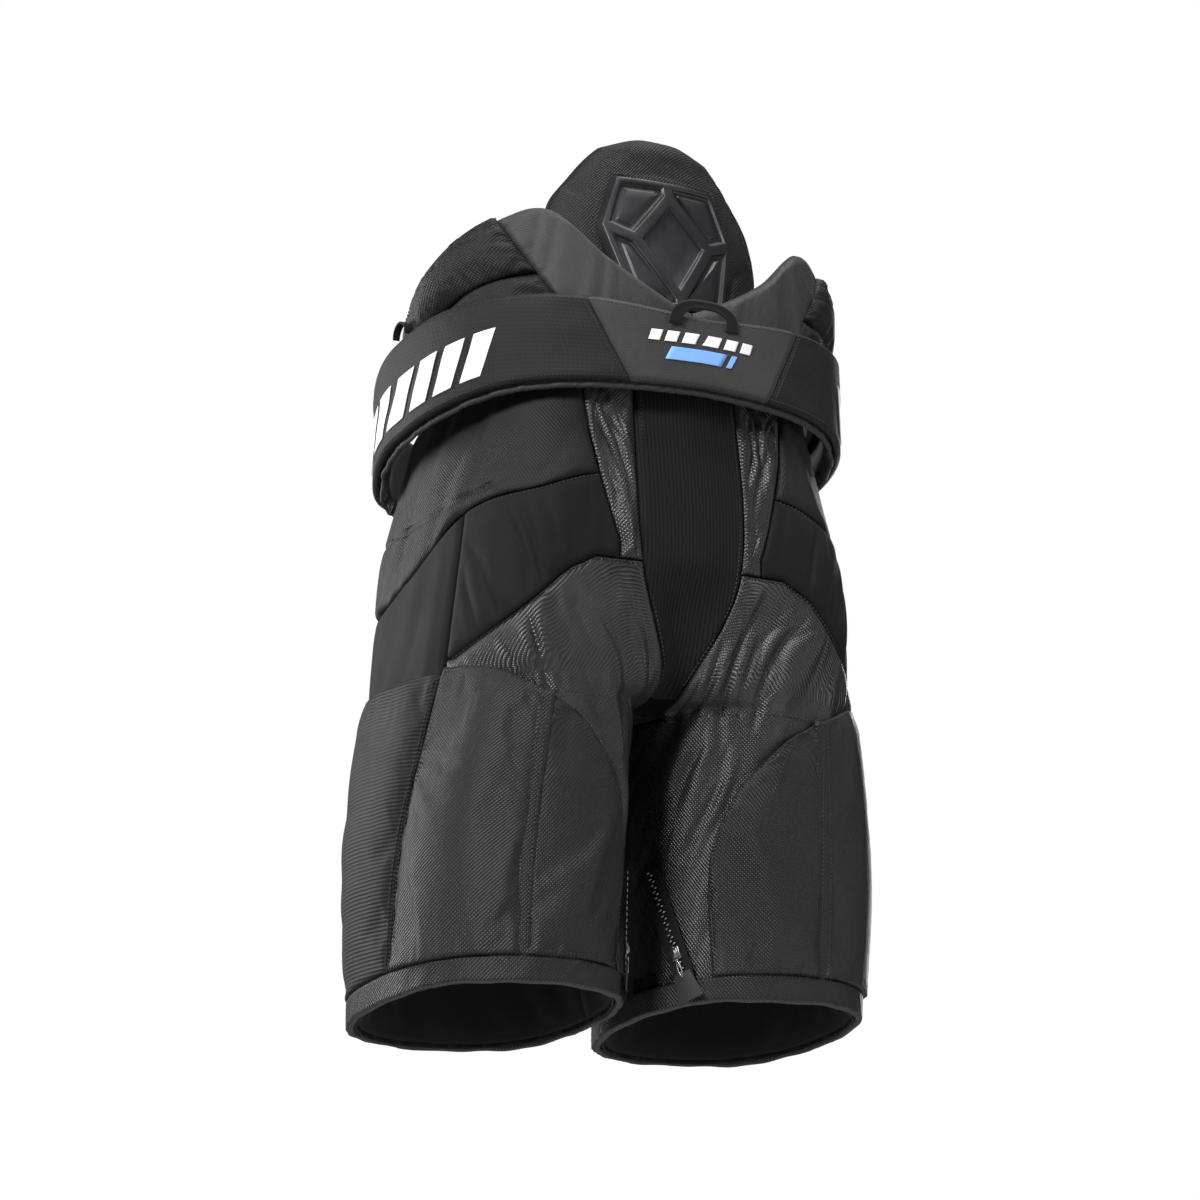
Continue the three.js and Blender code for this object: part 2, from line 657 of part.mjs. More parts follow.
function buildZips() {
  addPair('zip_tape', FINISH.webbing, zipBox(ZIP_TAPE_WIDTH, 0, zipLength, -1, ZIP_TAPE_CLOTH - 1));
  const garageTop = -2;
  addPair('zip_garage', FINISH.smoothGrey, zipBox(ZIP_TAPE_WIDTH + 8, -15, garageTop, 0, 3));
  const sliderFoot = PULL.height + 3;
  const face = ZIP_TAPE_CLOTH - 1 + TOUCH;
  addPair('zip_slider', FINISH.metal,
    zipBox(SLIDER.width, sliderFoot, sliderFoot + SLIDER.height, face, face + SLIDER.depth));
  const pullTop = sliderFoot - PULL.depth / 2 - TOUCH; // room for the end to turn on its hinge
  addPair('zip_pull', FINISH.metal,
    zipBox(PULL.width, pullTop - PULL.height, pullTop, face + 1.2, face + 1.2 + PULL.depth));
}

buildLegs();
buildStretchZone();
buildHips();
buildBelt();
buildBackGuards();
buildZips();

const pants = new THREE.Group();
pants.add(garment);
export default pants;
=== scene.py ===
"""Padded ice hockey pants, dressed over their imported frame.

Lengths are millimetres along the garment's own axis until a piece is finished, when it is turned
by the garment's lean and scaled to metres.  The wearer faces +Y, their left is -X.  Along the body
surface, "turn" runs round one half: 0 middle of the back or inner thigh, 1 back, 2 side, 3 front,
4 middle of the front or inner thigh again.
"""

import logging
import math
from dataclasses import dataclass, field
from enum import Enum
from typing import Any, Callable, Protocol, Sequence

import bmesh
import bpy
import numpy as np
from mathutils import Matrix, Vector


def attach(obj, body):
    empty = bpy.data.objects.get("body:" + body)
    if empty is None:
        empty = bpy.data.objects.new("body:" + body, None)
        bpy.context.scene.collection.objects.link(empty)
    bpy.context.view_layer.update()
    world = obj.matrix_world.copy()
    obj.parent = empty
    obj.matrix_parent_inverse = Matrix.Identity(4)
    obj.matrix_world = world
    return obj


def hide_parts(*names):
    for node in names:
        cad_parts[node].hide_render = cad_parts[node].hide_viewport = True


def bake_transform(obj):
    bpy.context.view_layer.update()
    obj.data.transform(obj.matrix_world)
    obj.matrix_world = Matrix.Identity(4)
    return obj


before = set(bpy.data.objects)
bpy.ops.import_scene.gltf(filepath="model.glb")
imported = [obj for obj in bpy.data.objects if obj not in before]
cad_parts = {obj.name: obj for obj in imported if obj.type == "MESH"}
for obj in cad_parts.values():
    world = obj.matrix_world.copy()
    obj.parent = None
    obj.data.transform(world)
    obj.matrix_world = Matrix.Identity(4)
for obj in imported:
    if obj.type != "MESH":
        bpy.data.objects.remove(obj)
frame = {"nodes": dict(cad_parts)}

log = logging.getLogger("hockey_pants")
Array = np.ndarray
Edge = float | Callable[[Array], Array]

LEAN = math.radians(7.4)
HEM = 14.0
CROTCH = 252.0
HIP = CROTCH + 123
WAIST = CROTCH + 236
LEG_TOP = CROTCH - 8
FLEX_TOP = LEG_TOP + 90
HEM_BAND = 19.0
ORIGIN_Y = 61.9
BELT_HEIGHT = 57.0
SPINE_RISE = 226.0
TO_ROW = Matrix.Translation((0, ORIGIN_Y / 1000, -HEM * math.cos(LEAN) / 1000)) @ Matrix.Rotation(
    LEAN, 4, "X") @ Matrix.Scale(0.001, 4)


class Side(Enum):
    """Which half of the garment a piece belongs to."""

    RIGHT = 1
    LEFT = -1

    @property
    def word(self) -> str:
        """The side's name as the frame's nodes and bodies spell it."""
        return self.name.lower()


class Weave(Enum):
    """How a cloth's surface is made."""

    TWILL = "diagonal ridges of crossing yarns"
    BASKET = "small squares"
    DOTS = "a dotted grid over small squares"
    LEVEL_RIB = "level ribs"
    UPRIGHT_RIB = "upright ribs"
    MESH = "knitted mesh with small holes"
    TRICOT = "fine herringbone"
    CORD = "thick level yarns of webbing"


# ---------------------------------------------------------------- shaping tools


def profile(stations: Sequence[tuple[float, float]]) -> Callable[[Array], Array]:
    """A smooth curve through a few stations, level beyond both ends.

    Args:
        stations: pairs of place and value, in rising order of place.

    Returns:
        A function from places to values.
    """
    place = np.array([s[0] for s in stations], float)
    value = np.array([s[1] for s in stations], float)
    before = np.maximum(np.arange(len(place)) - 1, 0)
    after = np.minimum(np.arange(len(place)) + 1, len(place) - 1)
    slope = (value[after] - value[before]) / (place[after] - place[before])

    def curve(at: Array) -> Array:
        """The curve's values at some places."""
        x = np.clip(np.asarray(at, float), place[0], place[-1])
        i = np.clip(np.searchsorted(place, x) - 1, 0, len(place) - 2)
        span = place[i + 1] - place[i]
        t = (x - place[i]) / span
        hold = (1 + 2 * t) * (1 - t) ** 2
        ends = t * (1 - t) ** 2 * span * slope[i] + t * t * (t - 1) * span * slope[i + 1]
        return hold * value[i] + (1 - hold) * value[i + 1] + ends

    return curve


def smooth(value: Array, low: float, high: float) -> Array:
    """A soft step from 0 at low to 1 at high."""
    t = np.clip((np.asarray(value, float) - low) / (high - low), 0, 1)
    return t * t * (3 - 2 * t)


def mix(a: Array, b: Array, t: Array) -> Array:
    """The value a share t of the way from a to b."""
    return a + (b - a) * t


@dataclass(frozen=True)
class Drift:
    """A smooth wandering field over cloth, the same on each run, from -1 to 1.

    Attributes:
        seed: picks the field.
        across: length over which it changes across, in mm.
        along: length over which it changes along, in mm.
    """

    seed: int
    across: float
    along: float

    def __call__(self, x: Array, y: Array) -> Array:
        """The field's values at places x and y in mm."""
        table = np.random.default_rng(self.seed).uniform(-1, 1, (64, 64))
        gx, gy = np.asarray(x) / self.across + 20.3, np.asarray(y) / self.along + 11.7
        ix, iy = np.floor(gx).astype(int), np.floor(gy).astype(int)
        tx, ty = smooth(gx - ix, 0, 1), smooth(gy - iy, 0, 1)
        low = mix(table[ix % 64, iy % 64], table[(ix + 1) % 64, iy % 64], tx)
        high = mix(table[ix % 64, (iy + 1) % 64], table[(ix + 1) % 64, (iy + 1) % 64], tx)
        return mix(low, high, ty)


@dataclass(frozen=True)
class Folds:
    """Soft folds with rounded tops and narrow valleys.

    Attributes:
        spacing: distance from one fold to the next, in mm.
        height: how far a fold's top stands out, in mm.
        lean: how far the folds run across for each mm along.
        wander: how much they wander, in parts of the spacing.
        seed: picks their course.
    """

    spacing: float
    height: float
    lean: float = 0.0
    wander: float = 0.8
    seed: int = 1

    def __call__(self, x: Array, y: Array) -> Array:
        """How far out the cloth stands at places x and y in mm."""
        bend = Drift(self.seed + 5, self.spacing * 3, self.spacing * 4)(x, y)
        line = x + self.lean * y + bend * self.spacing * self.wander
        broad = Drift(self.seed, self.spacing * 0.8, self.spacing * 6)(line, y)
        fine = Drift(self.seed + 7, self.spacing * 0.45, self.spacing * 3)(line, y)
        ridge = np.sqrt((broad + 0.3 * fine) ** 2 + 0.006)
        return self.height * (1.25 * ridge ** 0.8 - 0.45)


class Ground(Protocol):
    """A surface that cloth is laid on."""

    def lay(self, across: Array, height: Array, out: Array) -> Array:
        """Points of the surface, moved out by some mm."""


@dataclass(frozen=True)
class BodyGround:
    """The body surface of the right half, from the hem to the waist."""

    hem_side: float = 205.0
    lean_slope: float = math.tan(LEAN)
    corner: float = 2 / 2.35
    seat_fullness: float = 9.0
    fly_fullness: float = 8.0
    cleft_round: float = 2.6

    def point(self, turn: Array, z: Array) -> Array:
        """Points of the surface itself."""
        side_at = profile([(HEM, self.hem_side), (CROTCH / 2, 206), (CROTCH, 193), (HIP, 178), (WAIST, 162)])
        back_at = profile([(HEM, 107), (CROTCH / 2, 116), (CROTCH, 130), (HIP, 137), (WAIST, 126)])
        front_at = profile([(HEM, 108), (CROTCH, 120), (HIP, 120), (WAIST, 107)])
        gap_at = profile([(HEM, 9), (CROTCH / 2, 5), (CROTCH, 1)])
        merged = smooth(z, CROTCH, HIP)
        side = side_at(z)
        inside = np.where(z < CROTCH, gap_at(z), 0)
        leg_centre = (side_at(np.minimum(z, CROTCH)) + gap_at(z)) / 2
        centre = mix(leg_centre, side * profile([(HIP, 0.55), (WAIST, 0.45)])(z), merged)
        corner = profile([(HIP, self.corner), (WAIST, 1)])(z)
        back = turn < 2
        depth = np.where(back, back_at(z), front_at(z))
        full = depth + np.where(back, self.seat_fullness, self.fly_fullness)
        below = np.clip((HIP - z) / (HIP - CROTCH), 0, 1)
        middle = full * (1 - below ** self.cleft_round) ** (1 / self.cleft_round)
        crown = np.where(middle > depth, 1, merged)
        from_middle = np.where(back, turn, 4 - turn)
        angle = (from_middle % 1) * (math.pi / 2)
        sine, cosine = np.sin(angle), np.cos(angle)
        inner_x = centre - (centre - inside) * cosine ** corner
        inner_y = middle + (depth - middle) * mix(sine ** corner, sine ** 4, crown)
        outer_x = centre + (side - centre) * sine ** corner
        outer_y = depth * cosine ** corner
        x = np.where(from_middle < 1, inner_x, np.where(from_middle < 2, outer_x, side))
        y = np.where(from_middle < 1, inner_y, np.where(from_middle < 2, outer_y, 0))
        y = np.where(back, -y, y)
        return np.stack([x, y, z - y * self.slope(z)], -1)

    def slope(self, z: Array) -> Array:
        """How much of the hem's slope each level still has."""
        return self.lean_slope * np.clip((CROTCH - z) / (CROTCH - HEM), 0, 1)

    def lay(self, across: Array, height: Array, out: Array) -> Array:
        """Points of the surface, moved outwards along their own level."""
        step = 0.01
        along = self.point(np.minimum(across + step, 4), height) - self.point(
            np.maximum(across - step, 0), height)
        level = height < CROTCH
        middle = (across < step) | (across > 4 - step)
        toward = np.where(across < 2, 1.0, -1.0)
        ax = np.where(middle, np.where(level, 0.0, toward), along[..., 0])
        ay = np.where(middle, np.where(level, -1.0, 0.0), along[..., 1])
        scale = out / np.hypot(ax, ay)
        point = self.point(across, height)
        point[..., 0] += ay * scale
        point[..., 1] -= ax * scale
        point[..., 2] += ax * scale * self.slope(height)
        return point


FLY_REACH = 0.4
seat_reach = profile([(CROTCH + 10, 0.24), (CROTCH + 48, 0.5), (CROTCH + 95, 0.66), (WAIST, 0.76)])


@dataclass(frozen=True)
class MiddleGround:
    """The body surface across the middle, where a negative turn is on the left."""

    body: BodyGround
    front: bool = False
    valley: float = 7.0

    def lay(self, across: Array, height: Array, out: Array) -> Array:
        """Points of the surface, moved out by some mm and stretched over the cleft above the crotch."""
        reach = np.full_like(across, FLY_REACH) if self.front else seat_reach(height)
        turn = 4 - np.abs(across) if self.front else np.abs(across)
        point = self.body.lay(turn, height, out)
        edge = self.body.lay(4 - reach if self.front else reach, height, out)
        share = np.clip(np.abs(across) / reach, 0, 1)
        inwards = -self.valley if self.front else self.valley
        over = 1 - smooth(height, CROTCH + 62, CROTCH + 105)
        spanned = edge[..., 1] + inwards * (1 - share ** 2)
        point[..., 0] = mix(point[..., 0], edge[..., 0] * share, over)
        point[..., 1] = mix(point[..., 1], spanned, over)
        point[..., 0] *= np.sign(across) * (-1 if self.front else 1)
        return point


@dataclass(frozen=True)
class BeltGround:
    """The squared oval of the belt's face; across is degrees from the middle of the back."""

    side: float = 188.5
    back: float = 152.0
    front: float = 147.3
    corner: float = 2 / 2.35

    def lay(self, across: Array, height: Array, out: Array) -> Array:
        """Points of the oval, moved out by some mm."""
        angle = np.radians(across)
        sine, cosine = np.sin(angle), np.cos(angle)
        reach = np.where(cosine > 0, self.back, self.front)
        x = (self.side + out) * np.sign(sine) * np.abs(sine) ** self.corner
        y = -(reach + out) * np.sign(cosine) * np.abs(cosine) ** self.corner
        return np.stack([x, y, height + 0 * x], -1)


@dataclass(frozen=True)
class SpineGround:
    """The bowed and leaning face of the spine pad; across is mm from the middle."""

    foot: float = -118.0
    lean: float = 0.2
    bow: float = 0.003

    def lay(self, across: Array, height: Array, out: Array) -> Array:
        """Points of the face, moved backwards by some mm."""
        y = self.foot + (height - WAIST - 52) * self.lean + self.bow * across ** 2 - out
        return np.stack([across + 0 * y, y, height + 0 * y], -1)


BODY = BodyGround()
BACK_MIDDLE = MiddleGround(BODY)
FRONT_MIDDLE = MiddleGround(BODY, front=True)
BELT = BeltGround()
SPINE = SpineGround()


@dataclass
class Spread:
    """A piece of cloth laid flat, one value for each of its points.

    Attributes:
        across: place on the ground, in turns, degrees or mm.
        height: height on the ground, in mm.
        x: mm across the cloth from its middle line.
        y: mm along the cloth.
        u: share of the width.
        v: share of the height.
        rim: mm from the nearest edge.
        ends: mm from the lower edge and from the upper edge.
        sides: mm from the first side edge and from the second.
    """

    across: Array
    height: Array
    x: Array
    y: Array
    u: Array
    v: Array
    rim: Array
    ends: tuple[Array, Array]
    sides: tuple[Array, Array]


Shape = Callable[[Spread], Array]


@dataclass
class Cut:
    """The outline of a piece of cloth on a ground.

    Attributes:
        ground: the surface it lies on.
        start: first side edge, a place or a function of height.
        end: second side edge.
        low: lower edge, a height or a function of place.
        high: upper edge.
        columns: squares across.
        rows: squares along.
        loop: whether the side edges meet and are sewn together.
        runs_on: "low" or "high" for an edge that runs on into the next piece without a seam.
    """

    ground: Ground
    start: Edge
    end: Edge
    low: Edge
    high: Edge
    columns: int = 40
    rows: int = 40
    loop: bool = False
    runs_on: str = ""

    def places(self, u: Array, v: Array) -> tuple[Array, Array]:
        """Places and heights on the ground for shares of the width and the height."""

        def value(edge: Edge, at: Array) -> Array:
            """An edge's value at some places."""
            return edge(at) if callable(edge) else np.full_like(at, float(edge))

        zero = np.zeros_like(u)
        across = mix(value(self.start, zero + HIP), value(self.end, zero + HIP), u)
        height = zero
        for _ in range(8):
            height = mix(value(self.low, across), value(self.high, across), v)
            across = mix(value(self.start, height), value(self.end, height), u)
        return across, height

    def spread(self) -> Spread:
        """The flat piece, on a grid of rows and columns."""
        u, v = np.meshgrid(np.linspace(0, 1, self.columns + 1), np.linspace(0, 1, self.rows + 1))
        across, height = self.places(u, v)
        base = self.ground.lay(across, height, np.zeros_like(u))
        level = np.linalg.norm(np.diff(base, axis=1), axis=2)
        upright = np.linalg.norm(np.diff(base, axis=0), axis=2)
        x = np.concatenate([np.zeros((self.rows + 1, 1)), np.cumsum(level, 1)], 1)
        y = np.concatenate([np.zeros((1, self.columns + 1)), np.cumsum(upright, 0)], 0)
        sides = (x, x[:, -1:] - x)
        ends = (y, y[-1:, :] - y)
        sewn = [] if self.loop else [*sides]
        sewn += [end for end, edge in zip(ends, ("low", "high")) if edge != self.runs_on]
        nearest = np.minimum.reduce(sewn)
        middle = x[:, self.columns // 2][:, None]
        return Spread(across, height, x - middle, y + base[:1, :, 2], u, v, nearest, ends, sides)

    def path(self, edge: str, count: int, inset: float = 3.0) -> tuple[Array, Array]:
        """Places and heights along one edge, moved inwards by some mm.

        Args:
            edge: "low", "high", "start" or "end".
            count: number of points.
            inset: distance from the edge in mm.

        Returns:
            The places and the heights.
        """
        spread = self.spread()
        width, tall = float(spread.sides[0].max()), float(spread.ends[0].max())
        run = np.linspace(0.03, 0.97, count)
        ends = {
            "low": (run, np.full(count, inset / tall)),
            "high": (run, np.full(count, 1 - inset / tall)),
            "start": (np.full(count, inset / width), run),
            "end": (np.full(count, 1 - inset / width), run),
        }
        return self.places(*ends[edge])


def rounded(distance: Array, radius: float) -> Array:
    """Rises as a quarter circle from 0 at an edge to 1 a radius inside it."""
    t = np.clip(distance / radius, 0, 1)
    return np.sqrt(1 - (1 - t) ** 2)


# ---------------------------------------------------------------- meshes


def grid(bm: bmesh.types.BMesh, cut: Cut, points: Array, spread: Spread, flipped: bool) -> None:
    """Adds a grid of cloth to a mesh with its flat pattern and edge distance.

    Args:
        bm: the mesh.
        cut: the outline, for its rows and columns.
        points: rows by columns by 3 places in mm.
        spread: the flat piece.
        flipped: whether the faces are turned over.
    """
    flat = bm.loops.layers.uv.verify()
    rim = bm.verts.layers.float.get("rim") or bm.verts.layers.float.new("rim")
    made = bmesh.ops.create_grid(bm, x_segments=cut.columns, y_segments=cut.rows, size=0.5)["verts"]
    spot = {}
    for vert in made:
        i, j = round((vert.co.y + 0.5) * cut.rows), round((vert.co.x + 0.5) * cut.columns)
        spot[vert] = (i, j)
        vert.co = points[i, j]
        vert[rim] = float(spread.rim[i, j])
    faces = {face for vert in made for face in vert.link_faces}
    for face in faces:
        for loop in face.loops:
            i, j = spot[loop.vert]
            loop[flat].uv = (spread.x[i, j] / 1000, spread.y[i, j] / 1000)
    if flipped:
        bmesh.ops.reverse_faces(bm, faces=list(faces))


def to_object(bm: bmesh.types.BMesh, name: str) -> bpy.types.Object:
    """Turns a mesh in garment mm into a smooth object in the row frame.

    Args:
        bm: the mesh, which is freed.
        name: the object's name.

    Returns:
        The object, at the origin.
    """
    bmesh.ops.transform(bm, matrix=TO_ROW, verts=bm.verts)
    mesh = bpy.data.meshes.new(name)
    bm.to_mesh(mesh)
    bm.free()
    mesh.polygons.foreach_set("use_smooth", [True] * len(mesh.polygons))
    thing = bpy.data.objects.new(name, mesh)
    bpy.context.scene.collection.objects.link(thing)
    return thing


def mirrored(points: Array, side: Side) -> Array:
    """Points of the right half moved to the wanted side."""
    return points * np.array([side.value, 1, 1])


def sheet(name: str, cut: Cut, shape: Shape, thickness: float, side: Side = Side.RIGHT) -> bpy.types.Object:
    """A layer of cloth with an even thickness that grows inwards.

    Args:
        name: the object's name.
        cut: its outline.
        shape: how far out its face stands, in mm.
        thickness: in mm.
        side: the half it belongs to.

    Returns:
        The object.
    """
    spread = cut.spread()
    points = mirrored(cut.ground.lay(spread.across, spread.height, shape(spread)), side)
    bm = bmesh.new()
    grid(bm, cut, points, spread, side is Side.LEFT)
    bmesh.ops.remove_doubles(bm, verts=bm.verts, dist=0.02)
    thing = to_object(bm, name)
    wall = thing.modifiers.new("cloth", "SOLIDIFY")
    wall.thickness = thickness / 1000
    wall.offset = -1
    return thing


def cushion(name: str, cut: Cut, face: Shape, back: Shape, side: Side = Side.RIGHT) -> bpy.types.Object:
    """A closed pad whose face and back meet along its edge.

    Args:
        name: the object's name.
        cut: its outline.
        face: how far out its face stands, in mm.
        back: how far out its back stands, equal to the face along the edge.
        side: the half it belongs to.

    Returns:
        The object.
    """
    spread = cut.spread()
    bm = bmesh.new()
    for shape, flipped in ((face, False), (back, True)):
        points = mirrored(cut.ground.lay(spread.across, spread.height, shape(spread)), side)
        grid(bm, cut, points, spread, flipped != (side is Side.LEFT))
    bmesh.ops.remove_doubles(bm, verts=bm.verts, dist=0.05)
    return to_object(bm, name)


def settle(thing: bpy.types.Object, pressure: float, slack: float, cap: float, hold: float = 2.0) -> None:
    """Lets a pad swell and wrinkle as cloth, held along its seams, and keeps the result.

    Args:
        thing: the piece.
        pressure: how hard its filling pushes.
        slack: how much longer the cloth is than its outline, as a share.
        cap: the furthest that a point may move, in mm.
        hold: width of the held band along the seam, in mm.
    """
    mesh = thing.data
    count = len(mesh.vertices)
    rest = np.zeros(count * 3)
    mesh.vertices.foreach_get("co", rest)
    rest = rest.reshape(-1, 3)
    distance = np.zeros(count)
    mesh.attributes["rim"].data.foreach_get("value", distance)
    pinned = thing.vertex_groups.new(name="seam")
    pinned.add([int(i) for i in np.nonzero(distance <= hold)[0]], 1.0, "REPLACE")
    cloth = thing.modifiers.new("swell", "CLOTH")
    options = cloth.settings
    options.quality = 5
    options.mass = 0.25
    options.tension_stiffness = 25
    options.compression_stiffness = 25
    options.shear_stiffness = 12
    options.bending_stiffness = 0.4
    options.vertex_group_mass = "seam"
    options.shrink_min = -slack
    options.use_pressure = pressure != 0
    options.uniform_pressure_force = pressure
    options.effector_weights.gravity = 0
    cloth.collision_settings.use_collision = False
    cloth.collision_settings.use_self_collision = False
    cloth.point_cache.frame_start, cloth.point_cache.frame_end = 1, 20
    scene = bpy.context.scene
    for number in range(1, 21):
        scene.frame_set(number)
        bpy.context.view_layer.update()
    evaluated = thing.evaluated_get(bpy.context.evaluated_depsgraph_get())
    moved = np.zeros(count * 3)
    evaluated.data.vertices.foreach_get("co", moved)
    step = moved.reshape(-1, 3) - rest
    length = np.linalg.norm(step, axis=1, keepdims=True)
    limit = cap / 1000
    step *= limit * np.tanh(length / limit) / np.maximum(length, 1e-9)
    thing.modifiers.remove(cloth)
    thing.vertex_groups.remove(pinned)
    mesh.vertices.foreach_set("co", (rest + step).ravel())
    mesh.update()
    scene.frame_set(1)


def stitches(name: str, ground: Ground, places: Array, heights: Array, out: float | Array,
             side: Side = Side.RIGHT, pitch: float = 3.4, size: float = 0.55) -> bpy.types.Object:
    """A row of short stitches along a path.

    Args:
        name: the object's name.
        ground: the surface the path lies on.
        places: places along the path.
        heights: heights along the path.
        out: how far out the stitches lie, in mm, one value or one for each point.
        side: the half they belong to.
        pitch: distance from one stitch to the next, in mm.
        size: half the width of a stitch, in mm.

    Returns:
        The object.
    """
    lift = np.zeros_like(places) + out
    points = mirrored(ground.lay(places, heights, lift), side)
    lengths = np.concatenate([[0], np.cumsum(np.linalg.norm(np.diff(points, axis=0), axis=1))])
    count = max(int(lengths[-1] / pitch), 2)
    where = np.linspace(0, lengths[-1], count + 1)
    spots = np.stack([np.interp(where, lengths, points[:, k]) for k in range(3)], -1)
    bm = bmesh.new()
    for first, second in zip(spots[:-1], spots[1:]):
        middle, run = Vector((first + second) / 2), Vector(second - first)
        turn = run.to_track_quat("X", "Z").to_matrix().to_4x4()
        shape = Matrix.Diagonal((run.length * 0.36, size, size, 1))
        bmesh.ops.create_uvsphere(bm, u_segments=6, v_segments=4, radius=1,
                                  matrix=Matrix.Translation(middle) @ turn @ shape)
    return to_object(bm, name)


# ---------------------------------------------------------------- finishes


class Number:
    """One number over a surface, worked with Python's operators."""

    def __init__(self, paint: "Paint", link: Any) -> None:
        """Wraps a node's output."""
        self.paint = paint
        self.link = link

    def work(self, operation: str, *others: "Number | float") -> "Number":
        """Adds a Math node.

        Args:
            operation: the node's operation.
            others: its further values.

        Returns:
            The node's result.
        """
        values = {0: self.link}
        for place, other in enumerate(others, 1):
            values[place] = other.link if isinstance(other, Number) else other
        made = self.paint.node("ShaderNodeMath", {"operation": operation}, values)
        return Number(self.paint, made.outputs[0])

    def __add__(self, other: "Number | float") -> "Number":
        """self + other."""
        return self.work("ADD", other)

    def __mul__(self, other: "Number | float") -> "Number":
        """self * other."""
        return self.work("MULTIPLY", other)

    def __sub__(self, other: "Number | float") -> "Number":
        """self - other."""
        return self.work("SUBTRACT", other)

    def __rsub__(self, other: float) -> "Number":
        """other - self."""
        return (self * -1.0) + other

    def wave(self) -> "Number":
        """A sine wave from 0 to 1."""
        return self.work("SINE") * 0.5 + 0.5

    def size(self) -> "Number":
        """Its size without its sign."""
        return self.work("ABSOLUTE")

    def ping(self, scale: float) -> "Number":
        """A zigzag from 0 to scale and back."""
        return self.work("PINGPONG", scale)

    def held(self) -> "Number":
        """The value kept from 0 to 1."""
        return self.work("MAXIMUM", 0.0).work("MINIMUM", 1.0)


class Paint:
    """A material being mixed."""

    def __init__(self, name: str) -> None:
        """Starts a material with one Principled shader."""
        self.material = bpy.data.materials.new(name)
        self.material.use_nodes = True
        self.tree = self.material.node_tree
        self.shader = self.tree.nodes["Principled BSDF"]

    def node(self, kind: str, settings: dict[str, Any], values: dict[Any, Any]) -> Any:
        """Adds a node.

        Args:
            kind: the node's type.
            settings: its own settings, which are made first.
            values: numbers, colours or links for its sockets, by name or number.

        Returns:
            The node.
        """
        made = self.tree.nodes.new(kind)
        for key, value in settings.items():
            setattr(made, key, value)
        for key, value in values.items():
            if isinstance(value, Number):
                value = value.link
            if isinstance(value, bpy.types.NodeSocket):
                self.tree.links.new(value, made.inputs[key])
            else:
                made.inputs[key].default_value = value
        return made

    def flat(self) -> tuple[Number, Number]:
        """Metres across and along the flat cloth."""
        place = self.node("ShaderNodeUVMap", {}, {})
        parts = self.node("ShaderNodeSeparateXYZ", {}, {0: place.outputs[0]})
        return Number(self, parts.outputs[0]), Number(self, parts.outputs[1])

    def grain(self, scale: float, detail: float = 2.0, stretch: tuple[float, float, float] = (1, 1, 1)) -> Number:
        """Noise over the object's own space, from 0 to 1."""
        place = self.node("ShaderNodeTexCoord", {}, {})
        spread = self.node("ShaderNodeMapping", {}, {"Vector": place.outputs["Object"], "Scale": stretch})
        made = self.node("ShaderNodeTexNoise", {}, {
            "Vector": spread.outputs[0], "Scale": scale, "Detail": detail})
        return Number(self, made.outputs[0])

    def attribute(self, name: str) -> Number:
        """A number kept on the mesh's points."""
        return Number(self, self.node("ShaderNodeAttribute", {"attribute_name": name}, {}).outputs["Fac"])

    def blend(self, share: Number, first: Sequence[float], second: Sequence[float]) -> Any:
        """A colour between two colours."""
        made = self.node("ShaderNodeMix", {"data_type": "RGBA"}, {
            0: share, 6: (*first, 1.0), 7: (*second, 1.0)})
        return made.outputs[2]

    def finish(self, colour: Any, roughness: Any, relief: Number | None, distance: float,
               constants: dict[str, Any]) -> bpy.types.Material:
        """Joins colour, roughness and relief to the shader.

        Args:
            colour: a link or a colour.
            roughness: a number over the surface.
            relief: height from 0 to 1, or None.
            distance: the relief's real height in metres.
            constants: values set on the shader's own sockets.

        Returns:
            The material.
        """
        self.tree.links.new(colour, self.shader.inputs["Base Color"])
        self.tree.links.new(roughness.link, self.shader.inputs["Roughness"])
        if relief is not None:
            bump = self.node("ShaderNodeBump", {}, {"Height": relief, "Distance": distance, "Strength": 1.0})
            self.tree.links.new(bump.outputs[0], self.shader.inputs["Normal"])
        for key, value in constants.items():
            self.shader.inputs[key].default_value = value
        return self.material


